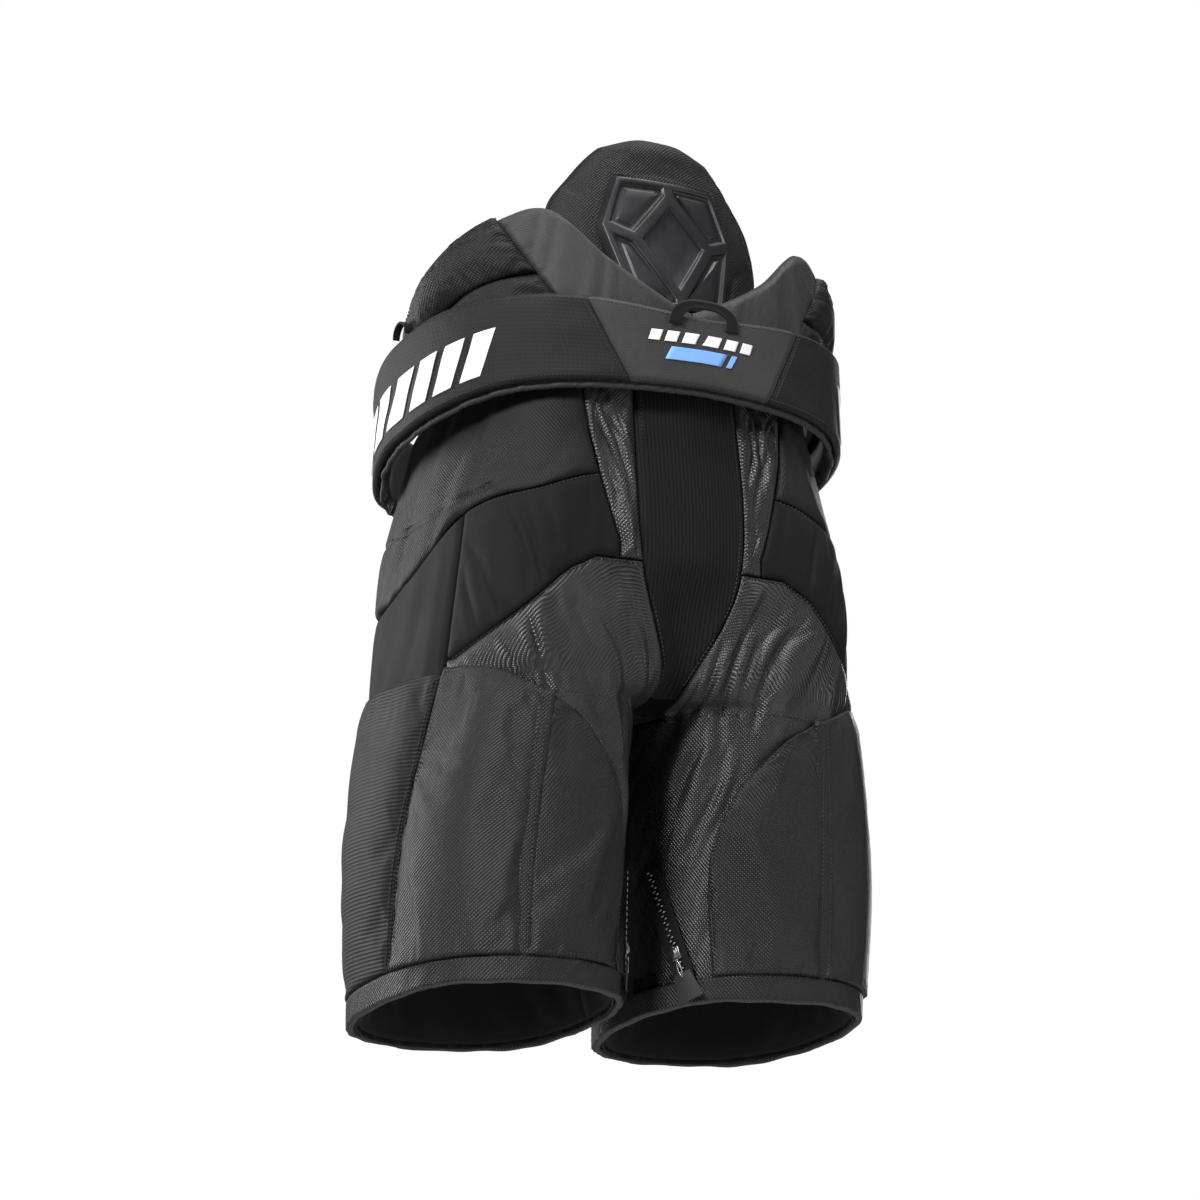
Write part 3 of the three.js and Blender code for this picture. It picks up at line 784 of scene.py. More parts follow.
@dataclass(frozen=True)
class Cloth:
    """A woven or knitted finish.

    Attributes:
        slot: its material's name.
        colour: the cloth's own colour, linear.
        weave: how it is made.
        pitch: length of one repeat, in mm.
        relief: height of the weave, in mm.
        roughness: how matt it is.
        sheen: strength of the soft light along its folds.
        contrast: how much darker the gaps between yarns are painted, as painted shade, with the yarn tops painted
            lighter as painted highlight.
        gloss: the yarn's specular level.
        seamed: whether its pieces carry their distance from a seam, which darkens their colour towards the seam as
            painted shade.
    """

    slot: str
    colour: tuple[float, float, float]
    weave: Weave
    pitch: float
    relief: float
    roughness: float
    sheen: float = 0.25
    contrast: float = 0.6
    gloss: float = 0.3
    seamed: bool = True

    def height(self, x: Number, y: Number) -> Number:
        """The weave's height from 0 to 1 at metres across and along the cloth."""
        k = 2 * math.pi / (self.pitch / 1000)
        if self.weave is Weave.TWILL:
            return ((x + y) * k).wave() * (((x - y) * k).wave() * 0.6 + 0.4)
        if self.weave is Weave.BASKET:
            return (x * k).work("SINE") * (y * k).work("SINE") * 0.5 + 0.5
        if self.weave is Weave.DOTS:
            fine = (x * (k * 2)).work("SINE") * (y * (k * 2)).work("SINE") * 0.25 + 0.45
            dots = ((x * k).wave() * (y * k).wave()).work("POWER", 3.0)
            return (fine - dots * 0.75).held()
        if self.weave is Weave.LEVEL_RIB:
            return (y * k).wave() * ((x * (k * 1.7)).wave() * 0.25 + 0.75)
        if self.weave is Weave.UPRIGHT_RIB:
            return (x * (k / 2)).work("SINE").size() * (((y * (k * 1.1)) + (x * k)).wave() * 0.3 + 0.7)
        if self.weave is Weave.MESH:
            holes = ((x * k).wave() * ((y * k) + (x * (k / 2))).wave()).work("POWER", 1.5)
            return 1 - holes
        if self.weave is Weave.TRICOT:
            step = self.pitch / 1000
            return ((y + x.ping(step * 2) * 0.8) * k).wave()
        return ((y * k) + (x * (k * 0.5))).wave() * ((x * (k * 1.2)).wave() * 0.4 + 0.6)

    def material(self) -> bpy.types.Material:
        """Mixes the material."""
        paint = Paint(self.slot)
        x, y = paint.flat()
        yarn = self.height(x, y)
        patch = paint.grain(14, 3) * 0.7 + paint.grain(160, 2) * 0.3
        fuzz = paint.grain(2600, 1)
        # Painted shade and highlight: the weave's gaps are painted darker and its yarn tops lighter; the patches and
        # fuzz are the cloth's own uneven tone.
        share = (yarn * self.contrast + (1 - self.contrast)) * (patch * 0.9 + 0.5)
        share = share * (fuzz * 0.9 + 0.55)
        # Painted shade: the colour darkens towards each seam, where the puffed cloth sinks, by up to 40% at the seam
        # itself.
        if self.seamed:
            depth = (paint.attribute("rim") * 0.16).held()
            share = share * (depth * 0.4 + 0.6)
        dark = [part * 0.08 for part in self.colour]
        light = [part * 1.9 for part in self.colour]
        rough = (1 - yarn) * 0.1 + paint.grain(30, 2) * 0.12 + (self.roughness - 0.11)
        height = yarn * 0.9 + fuzz * 0.1
        return paint.finish(paint.blend(share.held(), dark, light), rough.held(), height, self.relief / 1000, {
            "Sheen Weight": self.sheen, "Sheen Roughness": 0.45, "Specular IOR Level": self.gloss})


@dataclass(frozen=True)
class Moulded:
    """A moulded or cast finish.

    Attributes:
        slot: its material's name.
        colour: its colour, linear.
        roughness: how matt it is.
        grain: size of its grain, as repeats in a metre.
        relief: depth of its grain, in mm.
        metallic: 1 for metal.
        scuff: how much paler its worn patches are.
    """

    slot: str
    colour: tuple[float, float, float]
    roughness: float
    grain: float = 900.0
    relief: float = 0.06
    metallic: float = 0.0
    scuff: float = 0.35

    def material(self) -> bpy.types.Material:
        """Mixes the material."""
        paint = Paint(self.slot)
        fine, broad = paint.grain(self.grain, 3), paint.grain(22, 4)
        scratch = paint.grain(420, 2, (1, 0.12, 0.12))
        share = (broad * 0.8 + fine * 0.3 + scratch * 0.25 - 0.15).held()
        low = [part * (1 - self.scuff) for part in self.colour]
        high = [part * (1 + self.scuff) for part in self.colour]
        rough = broad * 0.18 + scratch * 0.1 + (self.roughness - 0.13)
        return paint.finish(paint.blend(share, low, high), rough.held(), fine, self.relief / 1000, {
            "Metallic": self.metallic, "Specular IOR Level": 0.5})


@dataclass(frozen=True)
class Ink:
    """A printed patch that lets a little of the weave through.

    Attributes:
        name: the ink's name.
        slot: the material slot of the cloth under it; not used.
        colour: its colour, linear.
    """

    name: str
    slot: str
    colour: tuple[float, float, float]

    def material(self) -> bpy.types.Material:
        """Mixes the material."""
        paint = Paint(self.name)
        x, y = paint.flat()
        k = 2 * math.pi / 0.0016
        yarn = (x * k).wave() * (y * k).wave()
        share = (yarn * 0.25 + paint.grain(60, 3) * 0.5 + 0.35).held()
        dark = [part * 0.82 for part in self.colour]
        return paint.finish(paint.blend(share, dark, self.colour), yarn * 0.1 + 0.5, yarn, 0.00008, {
            "Specular IOR Level": 0.4})


SATIN = Cloth("satin_mesh", (0.0112, 0.0114, 0.0118), Weave.TWILL, 3.0, 0.5, 0.34, 0.03, 0.85, 0.55)
LINING = Cloth("lining", (0.0056, 0.0056, 0.0061), Weave.BASKET, 1.4, 0.06, 0.9, 0.03, 0.5, 0.15)
TWILL = Cloth("twill", (0.0048, 0.0048, 0.0051), Weave.TWILL, 1.8, 0.16, 0.68, 0.03, 0.6, 0.16)
PAD_WEAVE = Cloth("pad_weave", (0.0092, 0.0092, 0.0096), Weave.TWILL, 3.0, 0.6, 0.42, 0.03, 0.9, 0.38)
RIBBED = Cloth("ribbed_cloth", (0.0072, 0.0072, 0.0077), Weave.LEVEL_RIB, 3.0, 0.4, 0.6, 0.03, 0.75, 0.2)
NYLON = Cloth("nylon", (0.0068, 0.0068, 0.0071), Weave.BASKET, 3.0, 0.4, 0.54, 0.03, 0.88, 0.22)
BALLISTIC = Cloth("ballistic", (0.0092, 0.0092, 0.0097), Weave.DOTS, 3.6, 0.6, 0.54, 0.03, 1.0, 0.24)
KNIT = Cloth("rib_knit", (0.0048, 0.0048, 0.0051), Weave.UPRIGHT_RIB, 3.2, 0.5, 0.75, 0.03, 0.85, 0.15)
GREY = Cloth("smooth_grey", (0.026, 0.026, 0.027), Weave.TRICOT, 2.4, 0.16, 0.6, 0.04, 0.45, 0.25)
WEBBING = Cloth("webbing", (0.0056, 0.0056, 0.0059), Weave.CORD, 1.6, 0.25, 0.75, 0.06, 0.6, 0.2, seamed=False)
THREAD = Cloth("thread", (0.02, 0.02, 0.021), Weave.CORD, 0.6, 0.05, 0.55, 0.1, 0.5, 0.25, seamed=False)
RUBBER = Moulded("plate_rubber", (0.005, 0.0052, 0.0068), 0.44, 1200, 0.08)
SHEET_PLASTIC = Moulded("guard_plastic", (0.01, 0.01, 0.0105), 0.45)
BUCKLE_PLASTIC = Moulded("buckle_plastic", (0.014, 0.014, 0.015), 0.4)
METAL = Moulded("zip_metal", (0.32, 0.32, 0.33), 0.32, 700, 0.03, 1.0, 0.25)
WHITE_INK = Ink("white_print", "ballistic", (0.86, 0.86, 0.86))
BLUE_INK = Ink("blue_print", "smooth_grey", (0.2, 0.42, 0.84))

Finish = Cloth | Moulded | Ink
_mixed: dict[Finish, bpy.types.Material] = {}


def coat(thing: bpy.types.Object, finish: Finish) -> None:
    """Gives an object a finish, mixed once for all that share it."""
    if finish not in _mixed:
        _mixed[finish] = finish.material()
    thing.data.materials.clear()
    thing.data.materials.append(_mixed[finish])


@dataclass
class Crossing:
    """The stretch of cloth between the waist and one leg."""

    side: Side
    start: Vector = field(default_factory=lambda: Vector((40, 0, 352)))
    end: Vector = field(default_factory=lambda: Vector((40, 0, 262)))

    def apply(self, thing: bpy.types.Object) -> None:
        """Bakes a piece's placement into its mesh."""
        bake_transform(thing)


def place(thing: bpy.types.Object, finish: Finish, body: str | Crossing, *nodes: str) -> bpy.types.Object:
    """Dresses a finished piece and ties it to the body it rides.

    Args:
        thing: the piece.
        finish: its finish.
        body: the body it rides, or the crossing it lies over.
        nodes: the frame's nodes that it stands for.

    Returns:
        The piece.
    """
    coat(thing, finish)
    if isinstance(body, Crossing):
        body.apply(thing)
    else:
        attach(thing, body)
    if nodes:
        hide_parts(*nodes)
    log.info("%s: %d faces", thing.name, len(thing.data.polygons))
    return thing


def declare(thing: bpy.types.Object, cut: Cut, held: str, *rests_on: str) -> bpy.types.Object:
    """Works out a piece's flat spread and hands the piece back unchanged.

    Args:
        thing: the piece.
        cut: its outline.
        held: how it is held; not used.
        rests_on: what it is sewn to or lies on; not used.

    Returns:
        The piece.
    """
    spread = cut.spread()
    return thing


# ---------------------------------------------------------------- seams shared by neighbours

PAD_FOOT = HEM + HEM_BAND + 2
PAD_SEAM = 1.12
PAD_SIDE_TOP = 1.69
GUARD_SEAM = 2.8
FRONT_SEAM = 3.6
gather_reach = profile([(HIP - 12, 0.8), (WAIST, 1.12)])
stretch_low = profile([(0.45, HIP + 14), (0.78, HIP - 13), (0.95, HIP - 28), (1.24, HIP - 65), (1.64, CROTCH + 20)])
hip_low = profile([(0.78, HIP + 46), (0.95, HIP + 40), (1.24, HIP + 26), (1.69, HIP + 12),
                   (2.1, FLEX_TOP + 4), (2.5, FLEX_TOP), (4, FLEX_TOP)])
pad_side = profile([(HEM, 1.87), (CROTCH / 2, 1.81), (CROTCH - 50, 1.74), (CROTCH + 16, PAD_SIDE_TOP)])
pad_inside = profile([(HEM, 0.58), (CROTCH / 2, 0.55), (CROTCH - 74, 0.68), (CROTCH - 41, 0.87),
                      (CROTCH - 21, 1.0), (CROTCH - 9, 1.1)])
pad_top = profile([(PAD_SEAM, CROTCH - 8), (1.4, CROTCH + 9), (PAD_SIDE_TOP, CROTCH + 14)])
waist_top = profile([(0, WAIST + 17), (1.5, WAIST + 8), (2.2, WAIST - 12), (3, WAIST - 34), (4, WAIST - 26)])
belt_low = profile([(0, WAIST), (45, WAIST - 6), (70, WAIST - 18), (95, WAIST - 33), (121, WAIST - 56),
                    (150, WAIST - 50), (180, WAIST - 42)])
belt_high = profile([(0, WAIST + 57), (32, WAIST + 65), (70, WAIST + 61), (95, WAIST + 47), (121, WAIST + 20),
                     (150, WAIST + 9), (180, WAIST + 4)])
turn_at = profile([(0, 0), (27, 1), (90, 2), (150, 3), (180, 4)])
kidney_high = profile([(18, WAIST + 102), (38, WAIST + 141), (57, WAIST + 132), (72, WAIST + 112),
                       (85, WAIST + 87), (95, WAIST + 58)])
kidney_groove = profile([(18, WAIST + 92), (57, WAIST + 80), (95, WAIST + 36)])
collar_high = profile([(0, WAIST + 66), (20, WAIST + 102), (38, WAIST + 140), (57, WAIST + 132)])
spine_half = profile([(WAIST + 22, 70), (WAIST + 72, 92), (WAIST + 132, 95), (WAIST + 162, 90),
                      (WAIST + 184, 75), (WAIST + 206, 57), (WAIST + 226, 34)])


def spine_top(x: Array) -> Array:
    """Upper edge of the spine pad, level in the middle and rounded into its shoulders."""
    reach = np.minimum(np.abs(x), 50)
    return WAIST + SPINE_RISE - 7 * smooth(reach, 10, 44) - 6 * (reach / 50) ** 5


GUARD_OUT = -16.0
GUARD_ROOT = GUARD_OUT - 5
SEAM_OUT = -8.2
COLLAR_FOOT = WAIST + 24


THIGH_TURN = 115.0


def flex_foot(turn: Array) -> Array:
    """Height of the seam between the stretch cloth and the shiny thigh cloth."""
    return np.minimum(stretch_low(turn), FLEX_TOP + 16)


def thigh_folds(side: Side) -> tuple[Folds, Folds]:
    """The long folds of the shiny thigh cloth, shared by its upper and lower pieces, and finer ones."""
    seed = 40 if side is Side.LEFT else 97
    return Folds(21, 8.5, -0.3, 0.5, seed), Folds(9, 1.8, -0.3, 0.9, seed + 3)


def gathered_share(turn: Array) -> Array:
    """How strongly the thigh cloth is gathered at a place round the leg."""
    return 1 - 0.6 * smooth(turn, 1.0, 1.5) * (1 - smooth(turn, 2.0, 3.0))


# ---------------------------------------------------------------- sub-assemblies


@dataclass
class ThighZip:
    """The zip on the inside of one thigh, with its garage at the hem."""

    side: Side
    foot: tuple[float, float, float] = (27, -73, 44)
    head: tuple[float, float, float] = (10, -47, 131)
    tape_width: float = 18.0
    tooth_pitch: float = 2.6
    slider_foot: float = 17.0
    pull_length: float = 14.0
    frame: Matrix = field(init=False)
    length: float = field(init=False)

    def __post_init__(self) -> None:
        """Works out the zip's own axes: across it, out of the thigh and along it."""
        foot, head = Vector(self.foot), Vector(self.head)
        along = (head - foot).normalized()
        out = Vector((-0.9, -0.436, 0))
        out = (out - along * out.dot(along)).normalized()
        across = along.cross(out)
        turn = Matrix((across, out, along)).transposed().to_4x4()
        flip = Matrix.Diagonal((self.side.value, 1, 1, 1))
        self.frame = flip @ Matrix.Translation(foot) @ turn
        self.length = (head - foot).length

    def block(self, bm: bmesh.types.BMesh, size: tuple[float, float, float],
              centre: tuple[float, float, float], round_by: float, segments: int = 2) -> None:
        """Adds a rounded block in the zip's own axes."""
        at = Matrix.Translation(centre) @ Matrix.Diagonal((*size, 1))
        made = bmesh.ops.create_cube(bm, size=1, matrix=at)["verts"]
        edges = list({edge for vert in made for edge in vert.link_edges})
        bmesh.ops.bevel(bm, geom=edges, offset=round_by, affect="EDGES", segments=segments, profile=0.5,
                        material=-1)

    def close(self, bm: bmesh.types.BMesh, name: str) -> bpy.types.Object:
        """Moves a mesh from the zip's axes to the garment's and makes the object."""
        bmesh.ops.transform(bm, matrix=self.frame, verts=bm.verts)
        bmesh.ops.recalc_face_normals(bm, faces=bm.faces)
        return to_object(bm, name)

    def build(self) -> None:
        """Makes the tape, the teeth, the garage, the slider and its pull."""
        word, leg = self.side.word, f"{self.side.word}_leg"
        bm = bmesh.new()
        tape = bmesh.ops.create_grid(bm, x_segments=16, y_segments=60, size=0.5)["verts"]
        for vert in tape:
            u, v = vert.co.x * 2, vert.co.y + 0.5
            ripple = 0.35 * math.sin(v * 34 + u) * (1 - v)
            vert.co = (u * self.tape_width / 2, ripple + 0.5 * u * u, v * self.length)
        bmesh.ops.solidify(bm, geom=bm.faces[:], thickness=1.0)
        place(self.close(bm, f"zip_cloth_{word}"), WEBBING, leg, f"zip_tape_{word}")
        bm = bmesh.new()
        for step in range(int(self.length / self.tooth_pitch)):
            shift = 1.1 if step % 2 else -1.1
            at = Matrix.Translation((shift, 1.2, (step + 0.5) * self.tooth_pitch))
            bmesh.ops.create_uvsphere(bm, u_segments=8, v_segments=6, radius=1,
                                      matrix=at @ Matrix.Diagonal((1.7, 0.9, 0.8, 1)))
        place(self.close(bm, f"zip_teeth_{word}"), METAL, leg)
        bm = bmesh.new()
        flap = bmesh.ops.create_grid(bm, x_segments=24, y_segments=20, size=0.5)["verts"]
        for vert in flap:
            u, v = vert.co.x * 2, vert.co.y + 0.5
            half = 12 - 4.5 * v
            vert.co = (u * half, 1.2 + 1.6 * math.cos(u * math.pi / 2) + 0.6 * v, -16 + 22 * v)
        bmesh.ops.solidify(bm, geom=bm.faces[:], thickness=1.2)
        place(self.close(bm, f"zip_flap_{word}"), GREY, leg, f"zip_garage_{word}")
        self.build_slider(word)

    def build_slider(self, word: str) -> None:
        """Makes the slider's two plates and bridge, and the pull that hangs from it."""
        middle = self.slider_foot + 5
        bm = bmesh.new()
        self.block(bm, (8, 1.2, 10), (0, 1.6, middle), 0.5)
        self.block(bm, (5.2, 1.2, 7), (0, 2.6, middle + 0.4), 0.5)
        self.block(bm, (2.4, 1.4, 5), (0, 3.5, middle), 0.5)
        place(self.close(bm, f"zip_runner_{word}"), METAL, f"{word}_zip_slider", f"zip_slider_{word}")
        top = self.slider_foot - 1.0
        bm = bmesh.new()
        at = Matrix.Translation((0, 2.7, top - self.pull_length / 2))
        turned = Matrix.Rotation(math.pi / 2, 4, "X")
        ring = bmesh.ops.create_circle(bm, segments=20, radius=2.0, cap_ends=False,
                                       matrix=at @ turned @ Matrix.Diagonal((1, self.pull_length / 4, 1, 1)))
        wall = bmesh.ops.extrude_edge_only(bm, edges=list({e for v in ring["verts"] for e in v.link_edges}))
        outer = [part for part in wall["geom"] if isinstance(part, bmesh.types.BMVert)]
        bmesh.ops.scale(bm, vec=(0.45, 1, 0.72), verts=outer, space=at.inverted())
        bmesh.ops.solidify(bm, geom=bm.faces[:], thickness=1.1)
        bmesh.ops.bevel(bm, geom=bm.edges[:], offset=0.2, affect="EDGES", segments=1, profile=0.5, material=-1)
        place(self.close(bm, f"zip_tag_{word}"), METAL, f"{word}_zip_pull", f"zip_pull_{word}")


@dataclass
class Leg:
    """One padded leg: shell, lining, hem, four pads and their stitching."""

    side: Side
    shell_out: float = -7.0
    lining_out: float = -15.0
    cuff_out: float = -6.9
    pad_dip: float = -5.0
    pad_crown: float = 3.4
    edge_round: float = 11.0

    @property
    def body(self) -> str:
        """The frame's body that the leg rides on."""
        return f"{self.side.word}_leg"

    @property
    def seed(self) -> int:
        """Keeps the two legs' creases different."""
        return 40 if self.side is Side.LEFT else 90

    def pad(self, name: str, cut: Cut, finish: Finish, crown: float, node: str, creases: Shape,
            slack: float = 0.02) -> bpy.types.Object:
        """A puffed pad sewn down along its edge.

        Args:
            name: the object's name.
            cut: its outline.
            finish: its cloth.
            crown: how far its middle stands out, in mm.
            node: the frame's node it stands for.
            creases: further relief in mm.
            slack: how much longer the cloth is than its outline.

        Returns:
            The piece.
        """

        def face(s: Spread) -> Array:
            """The pad's outside."""
            dome = np.sin(math.pi * np.clip(s.u, 0, 1)) * np.sin(math.pi * np.clip(s.v, 0, 1))
            across = rounded(np.minimum(*s.sides), self.edge_round)
            puff = across * rounded(s.ends[1], 24) * (0.45 + 0.55 * rounded(s.ends[0], 6))
            closed = rounded(s.rim, 1.2)
            top = crown - 2.5 - self.pad_dip
            swell = self.pad_dip + (top * puff + 3.0 * dome + creases(s) * puff) * closed
            return swell + foot(s)

        def back(s: Spread) -> Array:
            """The pad's inside, hidden against the shell."""
            return self.pad_dip - 0.6 * rounded(s.rim, 4) + foot(s)

        def foot(s: Spread) -> Array:
            """How much less the lower edge sinks, where the pad runs on into the hem."""
            return 4.2 * np.exp(-s.ends[0] / 3.5) * (1 - 0.3 * rounded(s.rim, 5))

        thing = cushion(name, cut, face, back, self.side)
        settle(thing, pressure=0.6, slack=slack, cap=2.2)
        place(thing, finish, self.body, node)
        return thing

    def row(self, name: str, cut: Cut, edge: str, inset: float = 3.2, out: float = -1.6, count: int = 60) -> None:
        """A row of stitches along one edge of a pad."""
        places, heights = cut.path(edge, count, inset)
        place(stitches(name, BODY, places, heights, out, self.side), THREAD, self.body)

    def build(self) -> None:
        """Makes every piece of the leg."""
        self.build_shell()
        self.build_lining()
        self.build_hem()
        self.build_back_pads()
        self.build_side_pads()
        ThighZip(self.side).build()
        node = frame["nodes"][f"thigh_shield_{self.side.word}"]
        coat(node, SHEET_PLASTIC)

    def build_shell(self) -> None:
        """The shiny tube of cloth under the pads, creased along the inside of the thigh."""
        cut = Cut(BODY, 0, 4, PAD_FOOT - 3, LEG_TOP + 1.5, 210, 90, loop=True, runs_on="high")
        folds, ripple = thigh_folds(self.side)

        def shape(s: Spread) -> Array:
            """The tube's outside."""
            turn = np.minimum(s.across, 4 - s.across)
            inside = 1 - smooth(turn, 0.62, 0.86) * (1 - smooth(s.height, LEG_TOP - 26, LEG_TOP - 6))
            x = np.where(s.across < 2, s.across, s.across - 4) * THIGH_TURN
            rise = (0.15 + 0.85 * smooth(s.height, 60, 215)) * gathered_share(s.across)
            return self.shell_out + inside * rise * (folds(x, s.height) + ripple(x, s.height))

        thing = sheet(f"thigh_cloth_{self.side.word}", cut, shape, 1.6, self.side)
        declare(thing, cut, "stretched", f"leg_lining_{self.side.word}")
        place(thing, SATIN, self.body, f"leg_shell_{self.side.word}")

    def build_lining(self) -> None:
        """The dark lining inside the leg, slack over the pads behind it."""
        cut = Cut(BODY, 0, 4, HEM + 6, LEG_TOP - 2, 130, 60, loop=True)
        folds = Folds(34, 7.0, 0.3, 0.8, self.seed + 11)

        def shape(s: Spread) -> Array:
            """The lining's outer face."""
            drawn = 6.4 * np.exp(-s.ends[0] / 12)
            return self.lining_out + drawn + np.minimum(folds(s.sides[0], s.y), 2.0) * smooth(s.rim, 0, 30)

        thing = sheet(f"inner_lining_{self.side.word}", cut, shape, 1.0, self.side)
        declare(thing, cut, "stretched", f"leg_shell_{self.side.word}")
        place(thing, LINING, self.body, f"leg_lining_{self.side.word}")

    def build_hem(self) -> None:
        """The hem: a turned-up band outside and an elastic gathered cuff inside."""

        def uneven(turn: Array) -> Array:
            """The hem's edge, drawn up a little between its seams."""
            angle = turn * math.pi / 2 + self.seed
            return HEM + 0.8 + 0.7 * np.sin(3 * angle) + 0.5 * np.sin(7 * angle) + 0.35 * np.sin(17 * angle)

        cut = Cut(BODY, 0, 4, uneven, HEM + HEM_BAND + 2, 240, 14, loop=True)
        wrinkle = Folds(15, 1.5, 0.5, 0.9, self.seed + 21)

        def root(s: Spread) -> Array:
            """How far out the band's inner layer stands, led up to the seam at its top."""
            return -4.2 + 3.3 * np.exp(-s.ends[1] / 3)

        def face(s: Spread) -> Array:
            """The band's outside, rounded over at the rim."""
            front = smooth(s.across, 2.1, 2.7) * (1 - smooth(s.across, 3.8, 4.0))
            crease = wrinkle(s.sides[0], s.y) * (0.5 + 0.9 * front)
            lower, upper = rounded(s.ends[0], 1.8), rounded(s.ends[1], 2)
            return root(s) + (0.2 - root(s) + crease) * lower * (0.35 + 0.65 * upper) * rounded(s.ends[1], 0.8)

        def back(s: Spread) -> Array:
            """The band's inside."""
            return root(s) - 1.6 * rounded(s.ends[0], 3) * rounded(s.ends[1], 2)

        band = place(cushion(f"hem_cuff_{self.side.word}", cut, face, back, self.side), PAD_WEAVE, self.body,
                     f"hem_band_{self.side.word}")
        cuff = Cut(BODY, 0, 4, HEM + 2.5, HEM + 34, 320, 14, loop=True)
        gathers = Folds(11, 4.5, 0.15, 0.6, self.seed + 31)

        def puckered(s: Spread) -> Array:
            """The elastic cuff, gathered into small upright folds."""
            return self.cuff_out + np.minimum(gathers(s.sides[0], s.y), 1.2) * (0.3 + 0.7 * rounded(s.ends[0], 10))

        inner = sheet(f"hem_elastic_{self.side.word}", cuff, puckered, 1.2, self.side)
        declare(inner, cuff, "gathered", f"hem_band_{self.side.word}")
        place(inner, TWILL, self.body)
        for index, level in enumerate((HEM + HEM_BAND - 3.5, HEM + 6)):
            places = np.linspace(0.55, 3.6, 200)
            out = np.full(200, -1.4)
            row = stitches(f"hem_row_{index}_{self.side.word}", BODY, places, places * 0 + level, out, self.side)
            place(row, THREAD, self.body)

    def build_back_pads(self) -> None:
        """The two pads on the back of the thigh with a double seam between them."""
        word = self.side.word
        outer = Cut(BODY, PAD_SEAM, pad_side, PAD_FOOT, pad_top, 58, 74)
        inner = Cut(BODY, pad_inside, PAD_SEAM, PAD_FOOT, CROTCH - 9, 46, 68)
        soft = Drift(self.seed + 41, 46, 70)
        pucker = Folds(9, 1.6, 0.0, 0.6, self.seed + 43)

        def creases(s: Spread) -> Array:
            """A slow wave and small puckers along the ends."""
            near = np.exp(-np.minimum(*s.ends) / 16)
            return soft(s.x, s.y) * 1.3 + pucker(s.x, s.y * 0.3) * near

        self.pad(f"thigh_cushion_outer_{word}", outer, PAD_WEAVE, self.pad_crown, f"thigh_pad_outer_{word}",
                 creases)
        self.pad(f"thigh_cushion_inner_{word}", inner, PAD_WEAVE, self.pad_crown - 1.5,
                 f"thigh_pad_inner_{word}", creases)
        for name, cut, edge in (("outer_side", outer, "end"), ("outer_seam", outer, "start"),
                                ("inner_seam", inner, "end"), ("inner_curve", inner, "start")):
            self.row(f"stitch_{name}_{word}", cut, edge, 4.0, -0.5, 90)
        felled = Cut(BODY, PAD_SEAM - 0.045, PAD_SEAM + 0.045, PAD_FOOT - 2, CROTCH - 8, 8, 90)
        strip = sheet(f"felled_seam_{word}", felled, lambda s: -3.2 + 2.4 * rounded(s.rim, 2.5), 1.2, self.side)
        declare(strip, felled, "stretched", f"thigh_pad_outer_{word}")
        place(strip, PAD_WEAVE, self.body)
        self.row(f"stitch_outer_top_{word}", outer, "high", 4.0, -2.2)
        self.row(f"stitch_outer_foot_{word}", outer, "low", 4.5, 0.4)
        self.row(f"stitch_inner_foot_{word}", inner, "low", 4.5, 0.4)

    def build_side_pads(self) -> None:
        """The ribbed guard round the outside and the guard on the front of the thigh."""
        word = self.side.word
        flank = Cut(BODY, pad_side, GUARD_SEAM, PAD_FOOT, CROTCH + 12, 74, 66)
        front = Cut(BODY, GUARD_SEAM, FRONT_SEAM, PAD_FOOT, CROTCH - 5, 60, 62)
        slow = Drift(self.seed + 51, 60, 34)
        level = Folds(52, 1.6, 0.0, 0.5, self.seed + 53)

        def creases(s: Spread) -> Array:
            """Slow level swells, as the guard bulges between its inner strips."""
            return slow(s.x, s.y) * 0.9 + level(s.y, s.x)

        self.pad(f"side_cushion_{word}", flank, RIBBED, 1.8, f"side_guard_{word}", creases, 0.01)
        self.pad(f"front_cushion_{word}", front, PAD_WEAVE, 3.0, f"front_guard_{word}", creases)
        self.row(f"stitch_side_{word}", flank, "start", 4.0, -0.9, 90)
        self.row(f"stitch_side_top_{word}", flank, "high", 4.0, -2.8, 90)
        self.row(f"stitch_front_{word}", front, "start", 4.0, -0.3, 90)
        self.row(f"stitch_front_inner_{word}", front, "end", 4.0, -0.3, 90)


